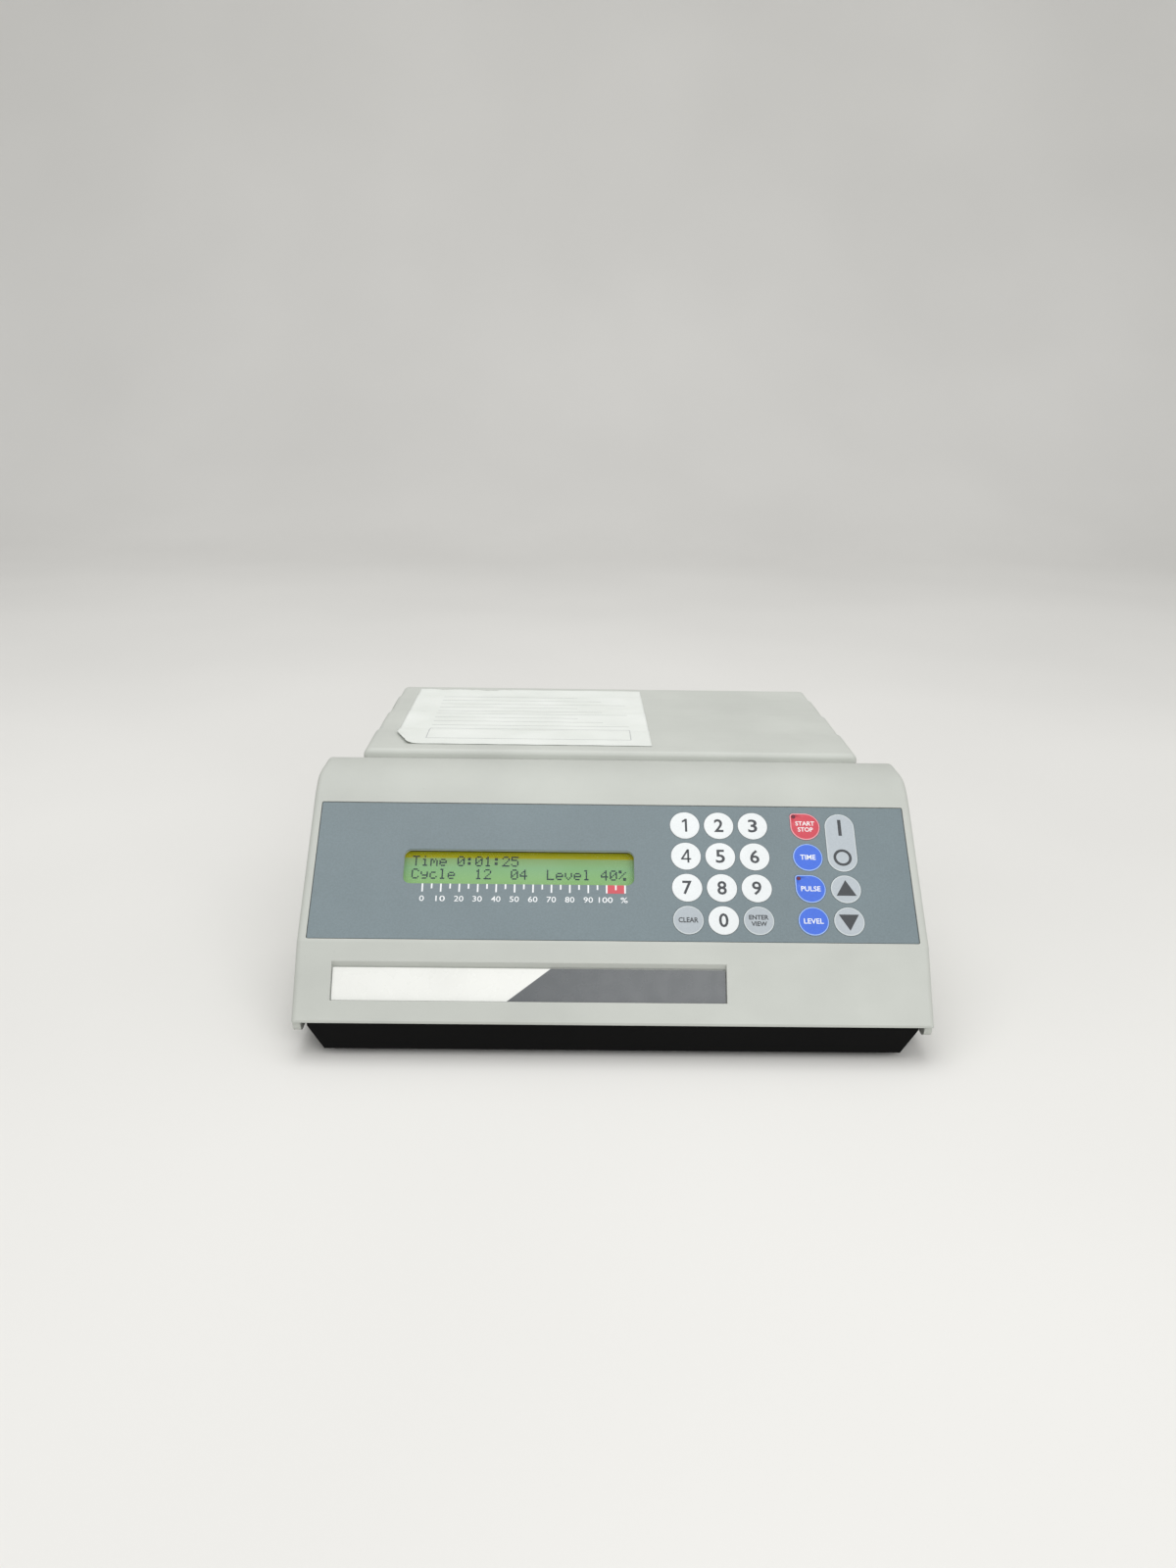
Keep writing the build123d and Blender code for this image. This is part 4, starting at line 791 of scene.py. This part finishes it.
def labelMesh():
    size = labelSizes
    rng = random.Random(size["seed"])
    columns, rows = size["columns"], size["rows"]
    torn, level = [], 0.0
    for i in range(columns + 1):
        level = max(0.0, min(size["tornDepth"], level + rng.uniform(-size["wander"], size["wander"])))
        ragged = (level + size["fray"] * rng.random()) * mm
        torn.append(ragged if i < size["tornColumns"] else rng.random() * size["cutFray"])
    built = bmesh.new()
    grid = {}
    for i in range(columns + 1):
        for j in range(rows + 1):
            x = labelLow.x + (labelHigh.x - labelLow.x) * i / columns
            y = labelLow.y + (labelHigh.y - labelLow.y - torn[i]) * j / rows
            if cornerShare(x, y) > size["cut"]:
                grid[i, j] = built.verts.new((x, y, paperHeight(x, y)))
    for i in range(columns):
        for j in range(rows):
            corners = [(i, j), (i + 1, j), (i + 1, j + 1), (i, j + 1)]
            present = [grid[c] for c in corners if c in grid]
            if len(present) >= 3:
                built.faces.new(present).smooth = True
    return meshFrom(built, "paper_label")


labelSource = plainObject("paper_label_source", labelMesh(), finishes["top_label"])
thicken = labelSource.modifiers.new("thickness", "SOLIDIFY")
thicken.thickness = labelSizes["sheet"]
thicken.offset = 1.0
label = plainObject("paper_label", plainMesh(labelSource))
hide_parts("top_label")
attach(label, "case")

# Printed rules: thin closed strips that follow the paper
ruleSizes = dict(
    left=14 * mm, right=9 * mm, front=9 * mm, boxDepth=18 * mm, first=24 * mm, pitch=7 * mm, count=9,
    shorten=12 * mm, width=0.35 * mm, low=0.10 * mm, high=0.15 * mm, steps=40,
)


def ruleStrip(first, last):
    first, along = Vector(first), Vector(last) - Vector(first)
    side = Vector((-along.y, along.x)).normalized() * ruleSizes["width"] / 2
    low, high = ruleSizes["low"], ruleSizes["high"]
    rings = []
    for i in range(ruleSizes["steps"] + 1):
        spot = first + along * (i / ruleSizes["steps"])
        height = paperHeight(spot.x, spot.y)
        corners = ((spot + side, low), (spot - side, low), (spot - side, high), (spot + side, high))
        rings.append([(place.x, place.y, height + rise) for place, rise in corners])
    return loftMesh("rule", rings, [inks["ruleGrey"]])


ruleLeft, ruleRight = labelLow.x + ruleSizes["left"], labelHigh.x - ruleSizes["right"]
ruleFront = labelLow.y + ruleSizes["front"]
ruleBack = ruleFront + ruleSizes["boxDepth"]
ruleEnds = [((ruleLeft, y), (ruleRight, y)) for y in (ruleFront, ruleBack)]
ruleEnds += [((x, ruleFront), (x, ruleBack)) for x in (ruleLeft, ruleRight)]
for i in range(ruleSizes["count"]):
    y = ruleFront + ruleSizes["first"] + ruleSizes["pitch"] * i
    ruleEnds.append(((ruleLeft, y), (ruleRight - ruleSizes["shorten"] * (i % 3), y)))
rules = plainObject("label_rules", joinMeshes("label_rules", [ruleStrip(*ends) for ends in ruleEnds]))
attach(rules, "case")

# Screws whose heads can be seen: each head is crowned and has a cross recess
print("screws")
screwSizes = {
    "case_screws": dict(head=2.85 * mm, rise=1.95 * mm, shank=1.35 * mm, length=19.5 * mm, under=True),
    "foot_screws": dict(head=2.95 * mm, rise=0.85 * mm, shank=1.35 * mm, length=7.5 * mm, under=True),
    "fan_screws": dict(head=3.15 * mm, rise=1.95 * mm, shank=1.85 * mm, length=9.5 * mm, under=False),
    "plate_screws": dict(head=2.85 * mm, rise=1.85 * mm, shank=1.35 * mm, length=6.5 * mm, under=False),
}
screwLabels = ("Head", "Rise", "Shank", "Length")
# Shares of the head: its crown, and the cross, which fades out between each pair of values
headShares = dict(crownPower=3.5, crown=0.45, slotHalf=(0.12, 0.2), slotReach=(0.5, 0.6), slotDepth=0.6)


# The corners of each loose part of a node, in order of place
def islandsOf(node):
    built = bmesh.new()
    built.from_mesh(nodes[node].data)
    bmesh.ops.remove_doubles(built, verts=built.verts, dist=0.001 * mm)
    left, found = set(built.verts), []
    while left:
        front = [left.pop()]
        places = []
        while front:
            vert = front.pop()
            places.append(vert.co.copy())
            for edge in vert.link_edges:
                other = edge.other_vert(vert)
                if other in left:
                    left.remove(other)
                    front.append(other)
        low = Vector([min(p[axis] for p in places) for axis in range(3)])
        high = Vector([max(p[axis] for p in places) for axis in range(3)])
        found.append((low, high))
    built.free()
    return sorted(found, key=lambda ends: tuple(ends[0]))


# One screw on every point: its head's underside sits on the point and its shank runs down
def screwTree(name, material):
    tree, start = geometryTree(name, screwLabels)
    radius, rise = start["Head"], start["Rise"]

    def calc(operation, first, second=0.0):
        return mathOf(tree, operation, first, second)

    def upward(value):
        return nodeOf(tree, "ShaderNodeCombineXYZ", {2: value}).outputs[0]

    def crossFade(operation, share):
        distance = calc("DIVIDE", calc(operation, x, y), radius)
        return rangeOf(tree, distance, 1, 0, *headShares[share])

    values = {"Vertices": 72, "Side Segments": 1, "Fill Segments": 16, "Radius": radius, "Depth": rise}
    head = nodeOf(tree, "GeometryNodeMeshCylinder", values, fill_type="TRIANGLE_FAN").outputs["Mesh"]
    position = nodeOf(tree, "GeometryNodeInputPosition").outputs[0]
    parts = nodeOf(tree, "ShaderNodeSeparateXYZ", {0: position}).outputs
    x, y = (calc("ABSOLUTE", parts[k]) for k in (0, 1))
    far = calc("SQRT", calc("ADD", calc("MULTIPLY", x, x), calc("MULTIPLY", y, y)))
    bulge = calc("POWER", calc("DIVIDE", far, radius), headShares["crownPower"])
    crown = calc("MULTIPLY", bulge, headShares["crown"])
    cross = calc("MULTIPLY", crossFade("MINIMUM", "slotHalf"), crossFade("MAXIMUM", "slotReach"))
    recess = calc("MULTIPLY", cross, headShares["slotDepth"])
    sink = calc("MULTIPLY", calc("ADD", crown, recess), rise)
    onTop = calc("GREATER_THAN", parts[2])
    shift = upward(calc("SUBTRACT", calc("MULTIPLY", rise, 0.5), calc("MULTIPLY", sink, onTop)))
    moved = nodeOf(tree, "GeometryNodeSetPosition", {"Geometry": head, "Offset": shift})
    values = {"Vertices": 24, "Radius": start["Shank"], "Depth": start["Length"]}
    shank = nodeOf(tree, "GeometryNodeMeshCylinder", values).outputs["Mesh"]
    drop = upward(calc("MULTIPLY", start["Length"], -0.5))
    sunk = nodeOf(tree, "GeometryNodeTransform", {"Geometry": shank, "Translation": drop})
    both = nodeOf(tree, "GeometryNodeJoinGeometry")
    for part in (moved, sunk):
        feed(tree, both, {"Geometry": part.outputs["Geometry"]})
    values = {0: (0, 0, 0), 1: (0, 0, pi), "Seed": 5}
    spin = nodeOf(tree, "FunctionNodeRandomValue", values, data_type="FLOAT_VECTOR").outputs["Value"]
    values = {"Points": start["Geometry"], "Instance": both.outputs["Geometry"], "Rotation": spin}
    scatter = nodeOf(tree, "GeometryNodeInstanceOnPoints", values)
    return closeTree(tree, scatter.outputs["Instances"], material)


for name, size in screwSizes.items():
    turn = Matrix.Rotation(pi if size["under"] else -pi / 2, 4, "X")
    points = []
    for low, high in islandsOf(name):
        seat = (low + high) / 2
        if size["under"]:
            seat.z = low.z + size["rise"]
        else:
            seat.y = high.y - size["rise"]
        points.append(turn.inverted() @ seat)
    tree = screwTree(name + "_tree", finishes[name])
    values = {label: size[label.lower()] for label in screwLabels}
    screws = plainObject(name + "_crossed", runTree(tree, points, values, turn))
    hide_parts(name)
    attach(screws, "case")

# Fan guard of bent round wire: four rings welded on two spokes, with an eye at each end
print("fan guard")
guardSizes = dict(
    centre=(-58.0 * mm, 52.0 * mm), rings=4, first=9.0 * mm, spacing=6.5 * mm, wire=0.78 * mm,
    seat=100.5 * mm, spoke=0.9 * mm, ring=2.3 * mm, eye=3.1 * mm, holeHalf=25.0 * mm, spokeShort=0.72,
)


def guardTree(name, material):
    tree, start = geometryTree(name, ("First", "Spacing", "Wire"))
    ring = nodeOf(tree, "GeometryNodeCurvePrimitiveCircle", {"Resolution": 96, "Radius": 1.0})
    order = nodeOf(tree, "GeometryNodeInputIndex").outputs[0]
    grown = mathOf(tree, "ADD", mathOf(tree, "MULTIPLY", order, start["Spacing"]), start["First"])
    scale = nodeOf(tree, "ShaderNodeCombineXYZ", {k: grown for k in range(3)}).outputs[0]
    values = {"Points": start["Geometry"], "Instance": ring.outputs["Curve"], "Scale": scale}
    scatter = nodeOf(tree, "GeometryNodeInstanceOnPoints", values).outputs["Instances"]
    loose = nodeOf(tree, "GeometryNodeRealizeInstances", {"Geometry": scatter})
    values = {"Resolution": 12, "Radius": start["Wire"]}
    profile = nodeOf(tree, "GeometryNodeCurvePrimitiveCircle", values).outputs["Curve"]
    values = {"Curve": loose.outputs["Geometry"], "Profile Curve": profile}
    tube = nodeOf(tree, "GeometryNodeCurveToMesh", values).outputs["Mesh"]
    smooth = nodeOf(tree, "GeometryNodeSetShadeSmooth", {"Geometry": tube})
    return closeTree(tree, smooth.outputs["Geometry"], material)


def wireMesh(first, last, radius, material):
    curve = bpy.data.curves.new("wire", "CURVE")
    curve.dimensions = "3D"
    curve.bevel_depth = radius
    curve.bevel_resolution = 3
    curve.use_fill_caps = True
    line = curve.splines.new("POLY")
    line.points.add(1)
    line.points[0].co = (*first, 1)
    line.points[1].co = (*last, 1)
    mesh = plainMesh(plainObject("wire", curve))
    mesh.materials.clear()
    mesh.materials.append(material)
    return mesh


def guardMesh():
    size, material = guardSizes, finishes["fan_guard"]
    wire = size["wire"]
    tree = guardTree("guardRings", material)
    turn = Matrix.Rotation(-pi / 2, 4, "X")
    middle = Vector((size["centre"][0], size["seat"], size["centre"][1]))
    ringPlace = Matrix.Translation(middle + Vector((0, size["ring"], 0))) @ turn
    values = {"First": size["first"], "Spacing": size["spacing"], "Wire": wire}
    meshes = [runTree(tree, [(0, 0, 0)] * size["rings"], values, ringPlace)]
    spoke = middle + Vector((0, size["spoke"], 0))
    values = {"First": size["eye"], "Spacing": 0.0, "Wire": wire}
    reach = size["holeHalf"] - size["eye"] * size["spokeShort"]
    for wayX in (-1, 1):
        for wayZ in (-1, 1):
            eye = middle + Vector((wayX * size["holeHalf"], wire, wayZ * size["holeHalf"]))
            meshes.append(runTree(tree, [(0, 0, 0)], values, Matrix.Translation(eye) @ turn))
        along = Vector((reach, 0, reach * wayX))
        meshes.append(wireMesh(spoke - along, spoke + along, wire, material))
    return joinMeshes("fan_guard_wires", meshes)


guard = plainObject("fan_guard_wires", guardMesh())
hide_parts("fan_guard")
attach(guard, "case")

# Converter jack: a hexagon flange and a barrel with a real thread for the plug's ring
print("converter jack")
jackSizes = dict(
    centre=(30.0 * mm, 64.0 * mm), seat=100.5 * mm, hexagon=8.5 * mm, flange=3.0 * mm, chamfer=0.5 * mm,
    crest=4.78 * mm, root=4.42 * mm, pitch=0.9 * mm, perTurn=10, runIn=0.3 * mm, runOut=0.6 * mm,
    fadeIn=1.0 * mm, fadeOut=0.8 * mm, fadeEnd=0.4 * mm, tip=(0.3 * mm, 0.2 * mm),
    bore=4.05 * mm, reach=13.5 * mm, inner=14.0 * mm, sides=96,
)


def jackMesh():
    size = jackSizes
    flange, reach, root, chamfer = (size[k] for k in ("flange", "reach", "root", "chamfer"))
    step = size["pitch"] / size["perTurn"]
    count = int((reach - flange - size["runIn"] - size["runOut"]) / step)
    rows = [(y, "round", size["crest"]) for y in (-size["inner"], 0.0)]
    rows += [(y, "hex", size["hexagon"]) for y in (0.0, flange - chamfer)]
    rows.append((flange, "hex", size["hexagon"] - chamfer))
    rows.append((flange, "round", root))
    rows += [(flange + size["runIn"] + step * i, "thread", 0) for i in range(count + 1)]
    rows += [(reach - size["tip"][0], "round", root), (reach, "round", root - size["tip"][1])]
    rows += [(reach, "round", size["bore"]), (-size["inner"], "round", size["bore"])]
    rings = []
    for y, kind, radius in rows:
        ring = []
        for i in range(size["sides"]):
            turn = 2 * pi * i / size["sides"]
            far = radius
            if kind == "hex":
                far = radius * cos(pi / 6) / cos((turn + pi / 6) % (pi / 3) - pi / 6)
            if kind == "thread":
                phase = (y / size["pitch"] + i / size["sides"]) % 1
                end = min(1, (y - flange) / size["fadeIn"], (reach - size["fadeEnd"] - y) / size["fadeOut"])
                far = root + (size["crest"] - root) * (1 - abs(2 * phase - 1)) * max(0, end)
            x, z = size["centre"][0] + far * cos(turn), size["centre"][1] + far * sin(turn)
            ring.append((x, size["seat"] + y, z))
        rings.append(ring)
    return loftMesh("converter_jack_threaded", rings, hollow=True)


jack = plainObject("converter_jack_threaded", jackMesh(), finishes["converter_socket"])
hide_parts("converter_socket")
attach(jack, "case")

# Camera at the photograph's place, floor and light
print("stage")
cameraSizes = dict(
    place=(-17.85 * mm, -526.64 * mm, 246.61 * mm), pitch=18.09, yaw=0.891, roll=-0.937, lens=27.89,
)
floorSizes = dict(half=5.0, front=-3.0, bend=1.3, radius=0.8, height=3.5)
# Place, target, size and power of each lamp
lampSizes = {
    "overhead": ((-0.15, 0.1, 1.5), (0, 0, 0), (1.6, 1.2), 10.5),
    "frontFill": ((0.5, -1.4, 1.0), (0, 0, 0.05), (1.2, 0.9), 11),
}


def makeCamera():
    pitch, yaw, roll = (radians(cameraSizes[k]) for k in ("pitch", "yaw", "roll"))
    forward = Vector((sin(yaw) * cos(pitch), cos(yaw) * cos(pitch), -sin(pitch)))
    level = Vector((cos(yaw), -sin(yaw), 0))
    down = forward.cross(level)
    down = -down if down.z > 0 else down
    right = level * cos(roll) + down * sin(roll)
    below = down * cos(roll) - level * sin(roll)
    data = bpy.data.cameras.new("camera")
    data.sensor_width = 36
    data.lens = cameraSizes["lens"]
    data.clip_end = 50
    camera = plainObject("camera", data)
    turn = Matrix((right, -below, -forward)).transposed().to_4x4()
    camera.matrix_world = Matrix.Translation(cameraSizes["place"]) @ turn
    bpy.context.scene.camera = camera


def makeFloor():
    half, front, bend, radius, height = floorSizes.values()
    profile = [(front, 0), (bend, 0)]
    profile += [(bend + radius * sin(radians(a)), radius * (1 - cos(radians(a)))) for a in range(6, 91, 6)]
    profile.append((bend + radius, height))
    built = bmesh.new()
    rows = [[built.verts.new((x, y, z)) for x in (-half, half)] for y, z in profile]
    for lower, upper in zip(rows, rows[1:]):
        built.faces.new((lower[0], lower[1], upper[1], upper[0])).smooth = True
    material, tree, shader, place = startMaterial("floorPale")
    cloud = fadeOf(tree, noiseOf(tree, place, 400 * mm, 2), colour(222, 221, 218), colour(228, 227, 224))
    feed(tree, shader, {"Base Color": cloud, "Roughness": 0.7})
    floor = plainObject("floor", meshFrom(built, "floor"), material)


def makeLamp(name, place, target, size, power):
    data = bpy.data.lights.new(name, "AREA")
    data.shape = "RECTANGLE"
    data.size, data.size_y = size
    data.energy = power
    lamp = plainObject(name, data)
    lamp.location = place
    lamp.rotation_euler = (Vector(target) - Vector(place)).to_track_quat("-Z", "Y").to_euler()


def makeWorld():
    world = bpy.data.worlds.new("studio")
    world.use_nodes = True
    sky = {"Color": (1.0, 1.0, 0.99, 1), "Strength": 0.6}
    feed(world.node_tree, world.node_tree.nodes["Background"], sky)
    bpy.context.scene.world = world


makeCamera()
makeFloor()
makeWorld()
for name, values in lampSizes.items():
    makeLamp(name, *values)
bpy.context.scene.view_settings.view_transform = "Standard"
